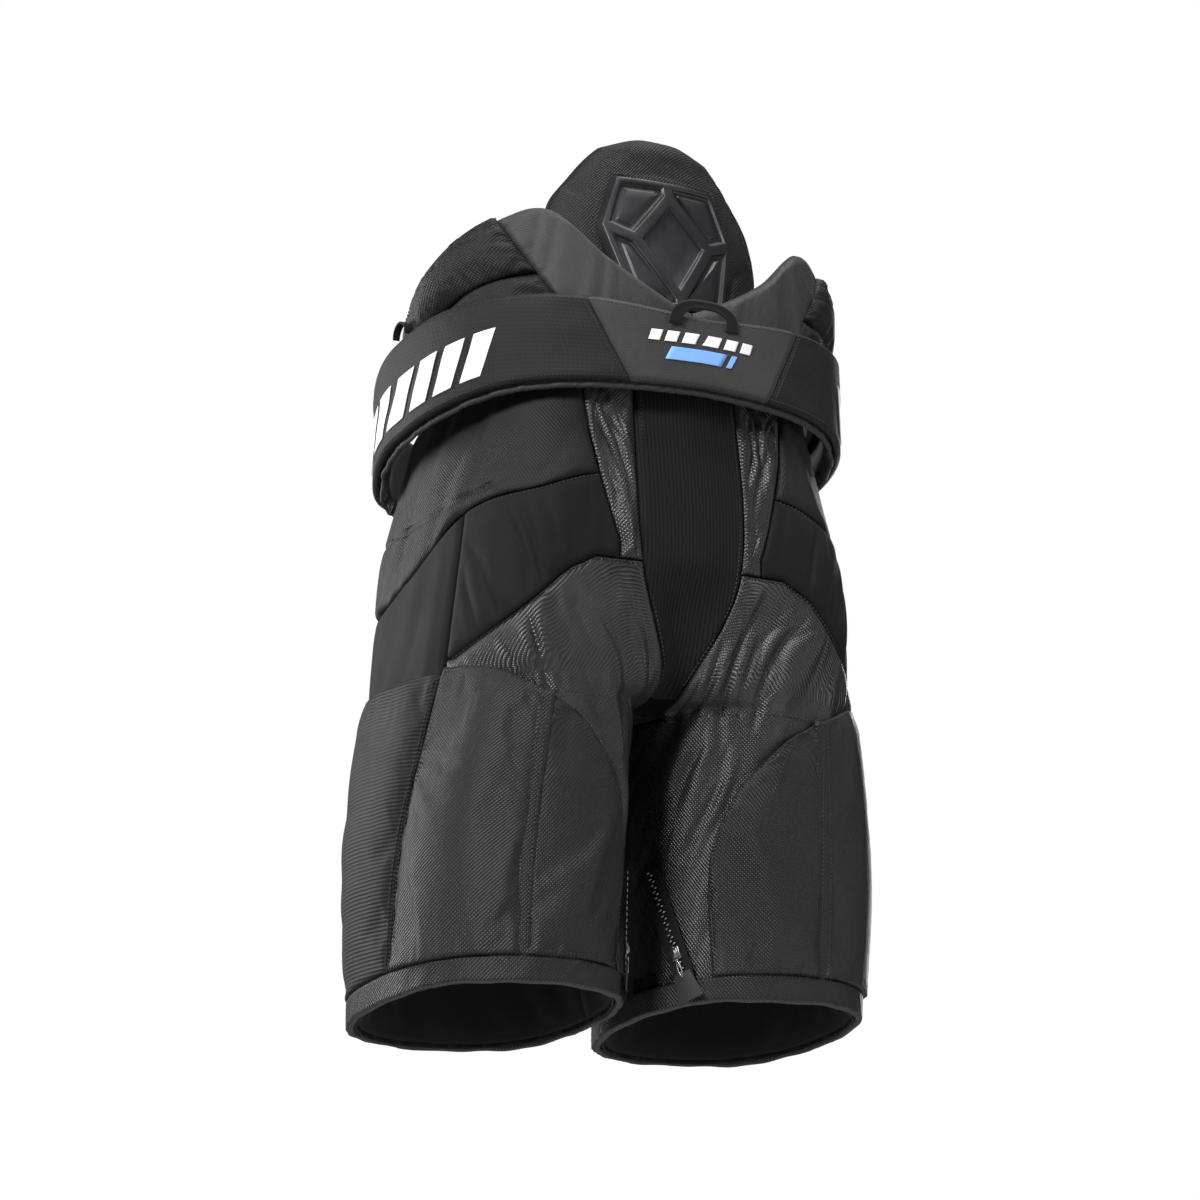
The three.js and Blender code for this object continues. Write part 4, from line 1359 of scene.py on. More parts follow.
@dataclass
class StretchZone:
    """The cloth that joins one leg to the hips."""

    side: Side
    face: float = -4.2
    foot_face: float = -7.0

    @property
    def crossing(self) -> Crossing:
        """The stretch's crossing."""
        return Crossing(self.side)

    def panel(self, name: str, cut: Cut, finish: Finish, folds: Shape, node: str) -> None:
        """One creased panel, pulled in along its seams.

        Args:
            name: the object's name.
            cut: its outline.
            finish: its cloth.
            folds: relief in mm.
            node: the frame's node it stands for.
        """

        def shape(s: Spread) -> Array:
            """The panel's outside."""
            seams = np.minimum(np.minimum(*s.sides), s.ends[1])
            near = seams if cut.runs_on else np.minimum(seams, s.ends[0])
            swell = (self.face - SEAM_OUT) * rounded(near, 8)
            if cut.runs_on:
                swell = mix(self.foot_face - SEAM_OUT, swell, smooth(s.ends[0], 0, 30))
            return SEAM_OUT + swell + folds(s) * smooth(near, 0, 20)

        thing = sheet(name, cut, shape, 1.5, self.side)
        declare(thing, cut, "stretched", node)
        place(thing, finish, self.crossing, node)

    def row(self, name: str, cut: Cut, edge: str, out: float, count: int = 80, inset: float = 3.0) -> None:
        """A row of stitches along one edge of the panel, placed like it."""
        places, heights = cut.path(edge, count, inset)
        place(stitches(name, BODY, places, heights, out, self.side), THREAD, self.crossing)

    def build(self) -> None:
        """Makes the thigh, flank and stretch panels."""
        word, seed = self.side.word, 130 if self.side is Side.LEFT else 170
        upper = Cut(BODY, seat_reach, PAD_SIDE_TOP, LEG_TOP, flex_foot, 110, 64, runs_on="low")
        long_folds, fine = thigh_folds(self.side)

        def gathered(s: Spread) -> Array:
            """Folds that gather towards the seat and the pad's upper edge."""
            x = s.across * THIGH_TURN
            return (long_folds(x, s.height) + fine(x, s.height)) * gathered_share(s.across)

        self.panel(f"thigh_gathers_{word}", upper, SATIN, gathered, f"inner_thigh_panel_{word}")
        flank = Cut(BODY, PAD_SIDE_TOP, 4 - FLY_REACH, LEG_TOP + 2, lambda t: hip_low(t) + 1, 90, 40)
        flank_folds = Folds(34, 3.0, 0.25, 0.6, seed + 2)
        self.panel(f"flank_cloth_{word}", flank, TWILL, lambda s: flank_folds(s.x, s.y),
                   f"side_flex_panel_{word}")
        stretch = Cut(BODY, gather_reach, PAD_SIDE_TOP, flex_foot, lambda t: hip_low(t) + 0.5, 80, 64)
        stretch_folds = Folds(23, 3.4, -0.35, 0.45, seed + 3)
        self.panel(f"stretch_cloth_{word}", stretch, TWILL, lambda s: stretch_folds(s.x, s.y),
                   f"stretch_panel_{word}")
        self.row(f"stitch_stretch_high_{word}", stretch, "high", -5.2)
        self.row(f"stitch_stretch_side_{word}", stretch, "end", -5.2)
        self.row(f"stitch_thigh_high_{word}", upper, "high", -5.0, 110)


@dataclass
class Hips:
    """The cloth from the stretch zone up to the belt, with its plastic guards inside."""

    face: float = -4.2
    sub_seam: float = HIP + 42

    def build(self) -> None:
        """Makes both halves and the middle panels."""
        for side in Side:
            self.build_half(side)
        self.build_middle()
        for name in ("hip_guard_left", "hip_guard_right", "tailbone_guard"):
            coat(frame["nodes"][name], SHEET_PLASTIC)

    def build_half(self, side: Side) -> None:
        """One hip panel with its sewn-in seams, and the shiny gathers beside the seat."""
        word, seed = side.word, 210 if side is Side.LEFT else 250
        hip = Cut(BODY, gather_reach, 4 - FLY_REACH, hip_low, waist_top, 150, 60)
        broad = Drift(seed, 52, 46)
        folds = Folds(44, 3.4, 0.35, 0.8, seed + 1)

        def seam(s: Spread) -> Array:
            """Level and upright seams over the hip."""
            level = self.sub_seam - 26 * smooth(s.across, 1.2, 2.0) - s.height
            upright = (s.across - 2.06) * 110
            return (1.6 * np.exp(-(level / 2.2) ** 2) * smooth(s.across, 1.4, 1.6) * (1 - smooth(
                s.across, 2.6, 2.9)) + 1.6 * np.exp(-(upright / 2.2) ** 2) * (level > 0))

        def shape(s: Spread) -> Array:
            """The panel's outside."""
            edge = rounded(s.rim, 8)
            relief = broad(s.x, s.y) * 1.4 + folds(s.x, s.y)
            return SEAM_OUT + (self.face - SEAM_OUT + relief) * edge - seam(s)

        thing = sheet(f"hip_cloth_{word}", hip, shape, 1.6, side)
        declare(thing, hip, "stretched", f"hip_panel_{word}")
        place(thing, NYLON, Crossing(side), f"hip_panel_{word}")
        across = np.linspace(1.55, 2.6, 70)
        level = self.sub_seam - 26 * smooth(across, 1.2, 2.0)
        for index, shift in enumerate((-3.0, 3.0)):
            row = stitches(f"hip_row_{index}_{word}", BODY, across, level + shift, -4.6, side)
            place(row, THREAD, Crossing(side))
        gather = Cut(BODY, seat_reach, gather_reach, flex_foot, WAIST + 12, 60, 90)
        ripples = Folds(14, 6.5, 0.16, 0.75, seed + 5)
        small = Folds(6, 1.4, -0.3, 0.9, seed + 6)

        def puckered(s: Spread) -> Array:
            """Close folds that run down beside the seat."""
            edge = rounded(s.rim, 5)
            relief = (ripples(s.x, s.y) + small(s.x, s.y)) * smooth(s.rim, 0, 12)
            return SEAM_OUT + (self.face - SEAM_OUT - 0.5) * edge + relief

        strip = sheet(f"gather_strip_{word}", gather, puckered, 1.2, side)
        declare(strip, gather, "gathered", f"gather_panel_{word}")
        place(strip, SATIN, Crossing(side), f"gather_panel_{word}")

    def build_middle(self) -> None:
        """The ribbed seat, the fly and the gusset between the legs."""
        seat = Cut(BACK_MIDDLE, lambda z: -seat_reach(z), seat_reach, CROTCH + 6, WAIST + 14, 96, 120)
        deep = Folds(30, 4.0, 0.5, 0.5, 301)
        soft = Drift(303, 36, 60)

        def shape(s: Spread) -> Array:
            """The seat, slack and creased towards the crotch."""
            low = 1 - smooth(s.height, CROTCH + 20, CROTCH + 120)
            edge = rounded(s.rim, 7)
            return SEAM_OUT + (-4.8 - SEAM_OUT + soft(s.x, s.y) * 0.9 + deep(s.x, s.y) * low) * edge

        thing = sheet("seat_cloth", seat, shape, 1.8)
        declare(thing, seat, "stretched", "seat_panel")
        place(thing, KNIT, "waist", "seat_panel")
        for word, edge in (("left", "start"), ("right", "end")):
            places, heights = seat.path(edge, 120, 3.0)
            place(stitches(f"seat_row_{word}", BACK_MIDDLE, places, heights, -5.0), THREAD, "waist")
        fly = Cut(FRONT_MIDDLE, -FLY_REACH, FLY_REACH, CROTCH + 6, WAIST - 26, 60, 100)
        crease = Folds(26, 3.0, 0.4, 0.6, 311)

        def fly_shape(s: Spread) -> Array:
            """The fly: two overlapping edges down the middle."""
            edge = rounded(s.rim, 7)
            lap = 1.6 * smooth(s.x, 4, 6) + crease(np.abs(s.x), s.y) * 0.5 * edge
            return SEAM_OUT + (-5.4 - SEAM_OUT) * edge + lap

        front = sheet("fly_cloth", fly, fly_shape, 1.8)
        bm = bmesh.new()
        bm.from_mesh(front.data)
        bmesh.ops.recalc_face_normals(bm, faces=bm.faces)
        forward = sum((face.normal.y for face in bm.faces), 0.0)
        if forward < 0:
            bmesh.ops.reverse_faces(bm, faces=bm.faces)
        bm.to_mesh(front.data)
        bm.free()
        declare(front, fly, "stretched", "fly_panel")
        place(front, NYLON, "waist", "fly_panel")
        heights = np.linspace(CROTCH + 30, WAIST - 34, 90)
        for index, shift in enumerate((0.075, 0.2)):
            places = np.full(90, shift)
            place(stitches(f"fly_row_{index}", FRONT_MIDDLE, places, heights, -4.6), THREAD, "waist")
        self.build_gusset()

    def build_gusset(self) -> None:
        """The knitted gusset between the legs, a shallow saddle sewn down its middle."""
        level, wide, narrow, reach = LEG_TOP + 4, 26.0, 12.0, 56
        for side in Side:
            bm = bmesh.new()
            flat = bm.loops.layers.uv.verify()
            for vert in bmesh.ops.create_grid(bm, x_segments=16, y_segments=60, size=0.5)["verts"]:
                u, v = vert.co.x + 0.5, vert.co.y * 2
                half = mix(wide, narrow, v * v) * side.value
                sag = 2.5 * v * v - 1.2 * u * u + 0.5 * math.sin(v * 19 + u * 3)
                vert.co = (u * half, v * reach, level + sag)
            for face in bm.faces:
                for loop in face.loops:
                    loop[flat].uv = (loop.vert.co.x / 1000, loop.vert.co.y / 1000)
            if side.value < 0:
                bmesh.ops.reverse_faces(bm, faces=bm.faces)
            thing = to_object(bm, f"gusset_cloth_{side.word}")
            wall = thing.modifiers.new("cloth", "SOLIDIFY")
            wall.thickness = 0.0018
            across = Crossing(side, Vector((1, 0, level)), Vector((18, 0, level)))
            place(thing, KNIT, across, *(["crotch_gusset"] if side is Side.RIGHT else []))


@dataclass
class Belt:
    """The wide padded belt with its label, prints, lining, loops and front closure."""

    label_low: float = 15.0
    label_high: float = 26.0
    end: float = 156.0
    cloth: float = 6.0
    strap_height: float = 38.0
    strap_face: float = 147.3
    buckle: tuple[float, float, float] = (52.0, 5.0, 46.0)
    buckle_gap: float = 0.6

    def border(self, degrees: Array, z: Array) -> Array:
        """Degrees of the label's side edge at each height."""
        share = np.clip((z - belt_low(degrees)) / (belt_high(degrees) - belt_low(degrees)), 0, 1)
        return mix(self.label_low, self.label_high, share)

    def face(self, degrees: Array, z: Array) -> Array:
        """How far out the belt's face stands, its edges rolled and its seams sunk."""
        place_on = np.abs(degrees)
        near = np.minimum(z - belt_low(place_on), belt_high(place_on) - z)
        roll = rounded(near, 6)
        seam = (place_on - self.border(place_on, z)) * 2.8
        wave = Drift(401, 30, 18)(degrees * 2.8, z) * 0.7 * smooth(near, 2, 14)
        return -3.0 + 3.4 * roll + wave - 1.1 * np.exp(-(seam / 1.8) ** 2)

    def side_edge(self, at: float, sign: float = 1.0) -> Callable[[Array], Array]:
        """A side edge that follows the label's slant."""
        return lambda z: sign * (at + (self.label_high - self.label_low) * np.clip(
            (z - WAIST + 4) / (BELT_HEIGHT + 8), 0, 1))

    def band(self, name: str, cut: Cut, finish: Finish, body: str, node: str, side: Side = Side.RIGHT) -> None:
        """A padded length of the belt."""

        def front(s: Spread) -> Array:
            """Its face, closed at the ends."""
            return mix(-3.0, self.face(s.across, s.height), rounded(np.minimum(*s.sides) + 2, 3))

        def back(s: Spread) -> Array:
            """Its back."""
            return -3.0 - 3.0 * rounded(s.rim, 4)

        thing = cushion(name, cut, front, back, side)
        place(thing, finish, body, node)

    def build(self) -> None:
        """Makes the belt from the label round to the buckle."""
        label = Cut(BELT, self.side_edge(self.label_low, -1), self.side_edge(self.label_low), belt_low_both,
                    belt_high_both, 60, 36)
        self.band("label_cloth", label, GREY, "waist", "belt_label_panel")
        for side in Side:
            word = side.word
            wing = Cut(BELT, self.side_edge(self.label_low + 0.2), self.end, belt_low, belt_high, 180, 36)
            self.band(f"belt_cloth_{word}", wing, BALLISTIC, "waist", f"belt_wing_{word}", side)
            self.build_lining(side)
            self.build_rows(side)
            self.build_loop(side)
        self.build_prints()
        self.build_hanger()
        self.build_closure()

    def build_lining(self, side: Side) -> None:
        """The grey lining behind the belt, rolled and gathered along its lower edge."""
        cut = Cut(BELT, 0.0, self.end, lambda d: belt_low(d) - 5, lambda d: belt_high(d) - 5, 300, 30)
        gathers = Folds(9, 2.6, 0.35, 0.8, 411)

        def shape(s: Spread) -> Array:
            """The lining's face, puckered near its foot."""
            foot = np.exp(-s.ends[0] / 9)
            return -7.6 + (gathers(s.x, s.y) * 0.8 - 0.6) * foot + 3.0 * np.exp(-((s.ends[0] - 3) / 3.5) ** 2) - 0.6

        def back(s: Spread) -> Array:
            """The side against the wearer."""
            return shape(s) - 4.5 * rounded(np.minimum(np.minimum(*s.ends), s.sides[1]), 4)

        thing = cushion(f"belt_liner_{side.word}", cut, shape, back, side)
        place(thing, GREY, "waist", f"belt_lining_{side.word}")

    def build_rows(self, side: Side) -> None:
        """Stitching along both edges of the belt and beside the label."""
        degrees = np.linspace(1, self.end - 2, 200)
        for name, heights in (("low", belt_low(degrees) + 3.5), ("high", belt_high(degrees) - 3.5)):
            out = self.face(degrees, heights) + 0.1
            row = stitches(f"belt_row_{name}_{side.word}", BELT, degrees, heights, out, side, 3.0, 0.45)
            place(row, THREAD, "waist")
        heights = np.linspace(WAIST + 4, WAIST + BELT_HEIGHT + 2, 30)
        degrees = self.side_edge(self.label_low + 1.3)(heights)
        row = stitches(f"label_row_{side.word}", BELT, degrees, heights, self.face(degrees, heights) + 0.1, side,
                       3.0, 0.45)
        place(row, THREAD, "waist")

    def build_loop(self, side: Side) -> None:
        """A webbing loop for a brace button at the top of the belt."""
        bm = bmesh.new()
        for vert in bmesh.ops.create_grid(bm, x_segments=8, y_segments=28, size=0.5)["verts"]:
            u, angle = vert.co.x, (vert.co.y + 0.5) * math.pi
            height = float(belt_high(84)) + 1 + math.sin(angle) * 10.5
            vert.co = ((188.5 - 3 + u * 6) * side.value, math.cos(angle) * 10.5 - 4, height)
        bmesh.ops.solidify(bm, geom=bm.faces[:], thickness=1.6)
        bmesh.ops.recalc_face_normals(bm, faces=bm.faces)
        thing = to_object(bm, f"brace_loop_{side.word}")
        place(thing, WEBBING, "waist", f"suspender_loop_{side.word}")

    def patch(self, name: str, start: float, width: float, low: float, high: float, slant: float, ink: Ink,
              side: Side) -> None:
        """A slanted printed bar on the belt.

        Args:
            name: the object's name.
            start: degrees of its first edge at its foot.
            width: its width in degrees.
            low: height of its foot above the belt's lower edge, in mm.
            high: height of its top above the belt's lower edge.
            slant: degrees that it leans for each mm of height.
            ink: its ink.
            side: the half it is printed on.
        """

        def lean(z: Array) -> Array:
            """The bar's first edge at each height."""
            return start + slant * (z - belt_low(start))

        cut = Cut(BELT, lean, lambda z: lean(z) + width, lambda d: belt_low(np.abs(d)) + low,
                  lambda d: belt_low(np.abs(d)) + high, 10, 20)
        thing = sheet(name, cut, lambda s: self.face(s.across, s.height) + 0.9, 0.5, side)
        place(thing, ink, "waist")

    def build_prints(self) -> None:
        """Plain slanted bars on both wings and small marks on the label."""
        for side in Side:
            for index, start in enumerate((58, 68, 78, 88, 98, 108)):
                self.patch(f"wing_bar_{index}_{side.word}", start, 6.4, 12, 47, -0.13, WHITE_INK, side)
        for index in range(6):
            start = -14.7 + index * 3.7
            self.patch(f"label_dash_{index}", start, 2.6, 34, 42.5, 0.1, WHITE_INK, Side.RIGHT)
        self.patch("label_block", -10.2, 10.4, 19.5, 30, 0.14, BLUE_INK, Side.RIGHT)
        self.patch("label_sliver", 1.2, 1.2, 19.5, 30, 0.14, BLUE_INK, Side.RIGHT)

    def build_hanger(self) -> None:
        """The hanging loop at the middle of the back, flat at its feet and turned at its top."""
        bm = bmesh.new()
        top = WAIST + BELT_HEIGHT
        for vert in bmesh.ops.create_grid(bm, x_segments=10, y_segments=60, size=0.5)["verts"]:
            w, angle = vert.co.x * 2, (vert.co.y + 0.5) * math.pi
            rise = math.sin(angle) ** 0.75
            across = w * mix(6.0, 3.0, rise)
            x = -math.copysign(abs(math.cos(angle)) ** 0.7, math.cos(angle)) * (25 + across)
            out = 1.2 + 3.0 * rise + 0.5 * w * w
            vert.co = (x, -152.0 - out, top - 8 + rise * (17 + across))
        bmesh.ops.solidify(bm, geom=bm.faces[:], thickness=1.8)
        bmesh.ops.recalc_face_normals(bm, faces=bm.faces)
        place(to_object(bm, "hanging_loop"), WEBBING, "waist", "hanger_loop")

    def build_closure(self) -> None:
        """The strap across the front with its lever buckle."""
        middle = float(belt_low(180) + belt_high(180)) / 2
        half = self.strap_height / 2
        strap = Cut(BELT, self.end + 1, 360 - self.end - 1, middle - half, middle + half, 90, 20)
        weave = Folds(13, 0.5, 0, 0.3, 421)
        thing = sheet("front_strap", strap, lambda s: -2.0 + weave(s.y, s.x), 1.8)
        declare(thing, strap, "stretched", "belt_wing_left")
        place(thing, WEBBING, "waist", "belt_strap")
        width, depth, height = self.buckle
        front = self.strap_face + self.buckle_gap
        bm = bmesh.new()
        at = Matrix.Translation((0, front + depth / 2, middle)) @ Matrix.Diagonal((width, depth, height, 1))
        bmesh.ops.create_cube(bm, size=1, matrix=at)
        faces = [face for face in bm.faces if abs(face.normal.y) > 0.9]
        bmesh.ops.inset_region(bm, faces=faces, thickness=6, use_even_offset=True)
        bmesh.ops.inset_region(bm, faces=faces, thickness=0.6, depth=-1.2, use_even_offset=True)
        edges = [edge for edge in bm.edges if len(edge.link_faces) == 2 and edge.calc_face_angle() > 0.6]
        bmesh.ops.bevel(bm, geom=edges, offset=0.9, affect="EDGES", segments=3, profile=0.5, material=-1)
        place(to_object(bm, "buckle_body"), BUCKLE_PLASTIC, "waist", "buckle_frame")
        bm = bmesh.new()
        at = Matrix.Translation((0, front + depth + self.buckle_gap + (depth - 1) / 2, middle))
        size = Matrix.Diagonal((width - 14, depth - 1, height - 12, 1))
        bmesh.ops.create_cube(bm, size=1, matrix=at @ size)
        lid = [face for face in bm.faces if face.normal.y > 0.9]
        bmesh.ops.inset_region(bm, faces=lid, thickness=4, depth=0, use_even_offset=True)
        bmesh.ops.inset_region(bm, faces=lid, thickness=1, depth=-1.0, use_even_offset=True)
        edges = [edge for edge in bm.edges if edge.calc_face_angle() > 0.6]
        bmesh.ops.bevel(bm, geom=edges, offset=0.8, affect="EDGES", segments=3, profile=0.5, material=-1)
        for step in range(-2, 3):
            rib = Matrix.Translation((0, front + 2 * depth - 1.0, middle + step * 4.4))
            bmesh.ops.create_uvsphere(bm, u_segments=16, v_segments=8, radius=1,
                                      matrix=rib @ Matrix.Diagonal((11, 0.8, 1.0, 1)))
        place(to_object(bm, "buckle_flap"), BUCKLE_PLASTIC, "buckle_lever", "buckle_lever")


def belt_low_both(degrees: Array) -> Array:
    """The belt's lower edge on either side of the middle."""
    return belt_low(np.abs(degrees))


def belt_high_both(degrees: Array) -> Array:
    """The belt's upper edge on either side of the middle."""
    return belt_high(np.abs(degrees))


@dataclass
class BackGuards:
    """The kidney pads, the collar and the hinged spine pad with its moulded plate."""

    collar_seam: tuple[float, float] = (22.0, 56.0)
    kidney_end: tuple[float, float] = (104.0, 93.0)
    kidney_lean: float = 13.0
    plate_depth: float = 6.5
    board_at: float = 16.6
    board_inset: float = 17.0

    def share(self, z: Array) -> Array:
        """How far up the guards a height is."""
        return np.clip((z - COLLAR_FOOT) / (float(kidney_high(56)) - COLLAR_FOOT), 0, 1)

    def seam(self, z: Array) -> Array:
        """Degrees of the seam between the collar and the kidney pads at each height."""
        return mix(*self.collar_seam, self.share(z))

    def overhang(self, degrees: Array, z: Array) -> Array:
        """How far the kidney pads lean out over the belt, away from the collar.

        Args:
            degrees: places round the guards.
            z: heights in mm.

        Returns:
            The distances in mm.
        """
        return self.kidney_lean * smooth(z, WAIST + 30, WAIST + 95) * smooth(degrees, 34, 78)

    def build(self) -> None:
        """Makes every guard above the belt."""
        for side in Side:
            self.build_kidney(side)
            self.build_collar(side)
        self.build_spine_pad()
        self.build_plate()
        self.build_board()

    def build_kidney(self, side: Side) -> None:
        """Two puffed pads with a deep groove between them and a puckered seam to the collar."""
        pucker = Folds(10, 4.6, 0.25, 0.5, 501)
        soft = Drift(503, 40, 30)

        def start(z: Array) -> Array:
            """Degrees of the edge tucked under the collar."""
            return self.seam(z) - 1.2

        def end(z: Array) -> Array:
            """Degrees of the outer edge."""
            return mix(*self.kidney_end, self.share(z))

        def foot(degrees: Array) -> Array:
            """Height of the lower edge, just above the waist."""
            return waist_top(turn_at(degrees)) + 6

        for name, low, high, rows in (("lower", foot, kidney_groove, 46), ("upper", kidney_groove, kidney_high, 30)):
            cut = Cut(BELT, start, end, low, high, 84, rows)

            def face(s: Spread) -> Array:
                """The pad's outside."""
                near = np.exp(-s.sides[0] / 9)
                puff = rounded(s.rim, 13)
                relief = soft(s.x, s.y) * 1.2 + pucker(s.y, s.x) * near
                return GUARD_ROOT + self.overhang(s.across, s.height) + 7.5 * puff + relief * puff

            def back(s: Spread) -> Array:
                """The pad's inside."""
                return GUARD_ROOT + self.overhang(s.across, s.height) - 6.5 * rounded(s.rim, 9)

            thing = cushion(f"kidney_cushion_{name}_{side.word}", cut, face, back, side)
            settle(thing, pressure=0.6, slack=0.025, cap=2.0)
            place(thing, NYLON, "waist", f"kidney_pad_{name}_{side.word}")
            for edge in ("start", "high"):
                places, heights = cut.path(edge, 70, 3.4)
                row = stitches(f"stitch_kidney_{name}_{edge}_{side.word}", BELT, places, heights,
                               GUARD_OUT - 1.6 + self.overhang(places, heights), side)
                place(row, THREAD, "waist")

    def build_collar(self, side: Side) -> None:
        """Half of the soft grey collar round the spine pad."""
        cut = Cut(BELT, 0.05, self.seam, COLLAR_FOOT, collar_high, 80, 90)
        folds = Folds(30, 2.4, 0.7, 0.6, 521 if side is Side.LEFT else 531)
        pucker = Folds(10, 4.2, 0.25, 0.5, 501)

        def face(s: Spread) -> Array:
            """The collar's outside."""
            near = np.exp(-s.sides[1] / 8)
            edge = rounded(np.minimum(s.ends[1], s.sides[1]), 9)
            relief = folds(s.x, s.y) * 0.6 + pucker(s.y, s.x) * near
            return GUARD_ROOT + (6.5 + relief) * edge

        def back(s: Spread) -> Array:
            """The collar's inside."""
            edge = rounded(np.minimum(s.ends[1], s.sides[1]), 7)
            return GUARD_ROOT - 2.5 * edge

        thing = cushion(f"collar_cloth_{side.word}", cut, face, back, side)
        place(thing, GREY, "waist", f"collar_{side.word}")

    def build_spine_pad(self) -> None:
        """The tall rounded pad over the spine."""
        cut = Cut(SPINE, lambda z: -spine_half(z), spine_half, WAIST + 24, spine_top, 84, 92)
        soft = Drift(541, 50, 44)
        pucker = Folds(10, 1.6, 0.0, 0.6, 543)

        def face(s: Spread) -> Array:
            """The pad's outside, drawn in round the plate."""
            puff = rounded(s.rim, 17)
            near = np.exp(-s.rim / 8)
            ring = np.hypot(s.across / 62, (s.height - WAIST - 128) / 66)
            return -7.5 + 7.0 * puff + soft(s.x, s.y) * puff + pucker(s.x + s.y, s.x) * near * puff - 1.4 * np.exp(
                -((ring - 1) / 0.05) ** 2) * 0.4

        def back(s: Spread) -> Array:
            """The pad's inside."""
            return -7.5 - 7.5 * rounded(s.rim, 12)

        thing = cushion("spine_cushion", cut, face, back)
        settle(thing, pressure=0.5, slack=0.012, cap=1.4)
        place(thing, NYLON, "spine_guard", "spine_pad")

    def build_board(self) -> None:
        """The smooth plastic board that stiffens the spine pad, against its inner face."""
        inset = self.board_inset
        cut = Cut(SPINE, lambda z: inset - spine_half(z), lambda z: spine_half(z) - inset, WAIST + 30,
                  lambda x: spine_top(x) - inset, 40, 60)
        thing = sheet("stiffener_board", cut, lambda s: -self.board_at + 0.8 * rounded(s.rim, 2), 2.0)
        place(thing, SHEET_PLASTIC, "spine_guard", "spine_stiffener")

    def build_plate(self) -> None:
        """The moulded plate: a raised rim and six sunk facets round a rhombus, and its stitching."""
        low, wide, high = WAIST + 73, WAIST + 141, WAIST + 184
        corners = [(-43, high), (43, high), (58, wide), (40, low), (-40, low), (-58, wide)]
        bm = bmesh.new()
        rim = [bm.verts.new((x, z, 0)) for x, z in corners]
        top, bottom = bm.verts.new((0, high, 0)), bm.verts.new((0, low, 0))
        right, left = bm.verts.new((33, wide - 10, 0)), bm.verts.new((-33, wide - 10, 0))
        crown, keel = bm.verts.new((0, high - 13, 0)), bm.verts.new((0, low + 9, 0))
        cells = [
            (rim[0], rim[5], left, crown, top), (rim[1], top, crown, right, rim[2]),
            (rim[5], rim[4], bottom, keel, left), (rim[2], right, keel, bottom, rim[3]),
            (crown, left, keel, right),
        ]
        faces = [bmesh.ops.contextual_create(bm, geom=list(cell))["faces"][0] for cell in cells]
        bmesh.ops.recalc_face_normals(bm, faces=bm.faces)
        if faces[0].normal.z < 0:
            bmesh.ops.reverse_faces(bm, faces=bm.faces)
        outline = [edge for edge in bm.edges if edge.is_boundary]
        skirt = bmesh.ops.extrude_edge_only(bm, edges=outline)["geom"]
        foot = [part for part in skirt if isinstance(part, bmesh.types.BMVert)]
        bmesh.ops.translate(bm, vec=(0, 0, -self.plate_depth), verts=foot)
        bmesh.ops.scale(bm, vec=(1.05, 1.045, 1), verts=foot, space=Matrix.Translation((0, -(low + high) / 2, 0)))
        bmesh.ops.inset_individual(bm, faces=faces, thickness=4.0, depth=0.0, use_even_offset=True)
        bmesh.ops.inset_individual(bm, faces=faces, thickness=1.5, depth=-2.6, use_even_offset=True)
        sunk = faces[:4]
        bmesh.ops.inset_individual(bm, faces=sunk, thickness=3.5, depth=0.0, use_even_offset=True)
        bmesh.ops.inset_individual(bm, faces=sunk, thickness=1.2, depth=1.5, use_even_offset=True)
        edges = [edge for edge in bm.edges if len(edge.link_faces) == 2 and edge.calc_face_angle() > 0.35]
        bmesh.ops.bevel(bm, geom=edges, offset=0.7, affect="EDGES", segments=2, profile=0.5, material=-1)
        bmesh.ops.triangulate(bm, faces=bm.faces)
        long_edges = [edge for edge in bm.edges if edge.calc_length() > 9]
        bmesh.ops.subdivide_edges(bm, edges=long_edges, cuts=3, use_grid_fill=True)
        bmesh.ops.triangulate(bm, faces=bm.faces)
        for vert in bm.verts:
            x, z, out = vert.co
            spot = SPINE.lay(np.array(x), np.array(z), np.array(out + self.plate_depth + 0.8))
            vert.co = Vector(spot)
        bmesh.ops.recalc_face_normals(bm, faces=bm.faces)
        backwards = sum(face.normal.y * face.calc_area() for face in bm.faces)
        if backwards > 0:
            bmesh.ops.reverse_faces(bm, faces=bm.faces)
        thing = to_object(bm, "spine_badge")
        thing.data.set_sharp_from_angle(angle=math.radians(38))
        place(thing, RUBBER, "spine_guard", "spine_plate")
        ring = corners + corners[:1]
        middle = (low + high) / 2
        for index, ((x0, z0), (x1, z1)) in enumerate(zip(ring[:-1], ring[1:])):
            xs = np.linspace(x0, x1, 20) * 1.11
            zs = (np.linspace(z0, z1, 20) - middle) * 1.1 + middle
            place(stitches(f"badge_row_{index}", SPINE, xs, zs, 0.4, pitch=3.0), THREAD, "spine_guard")


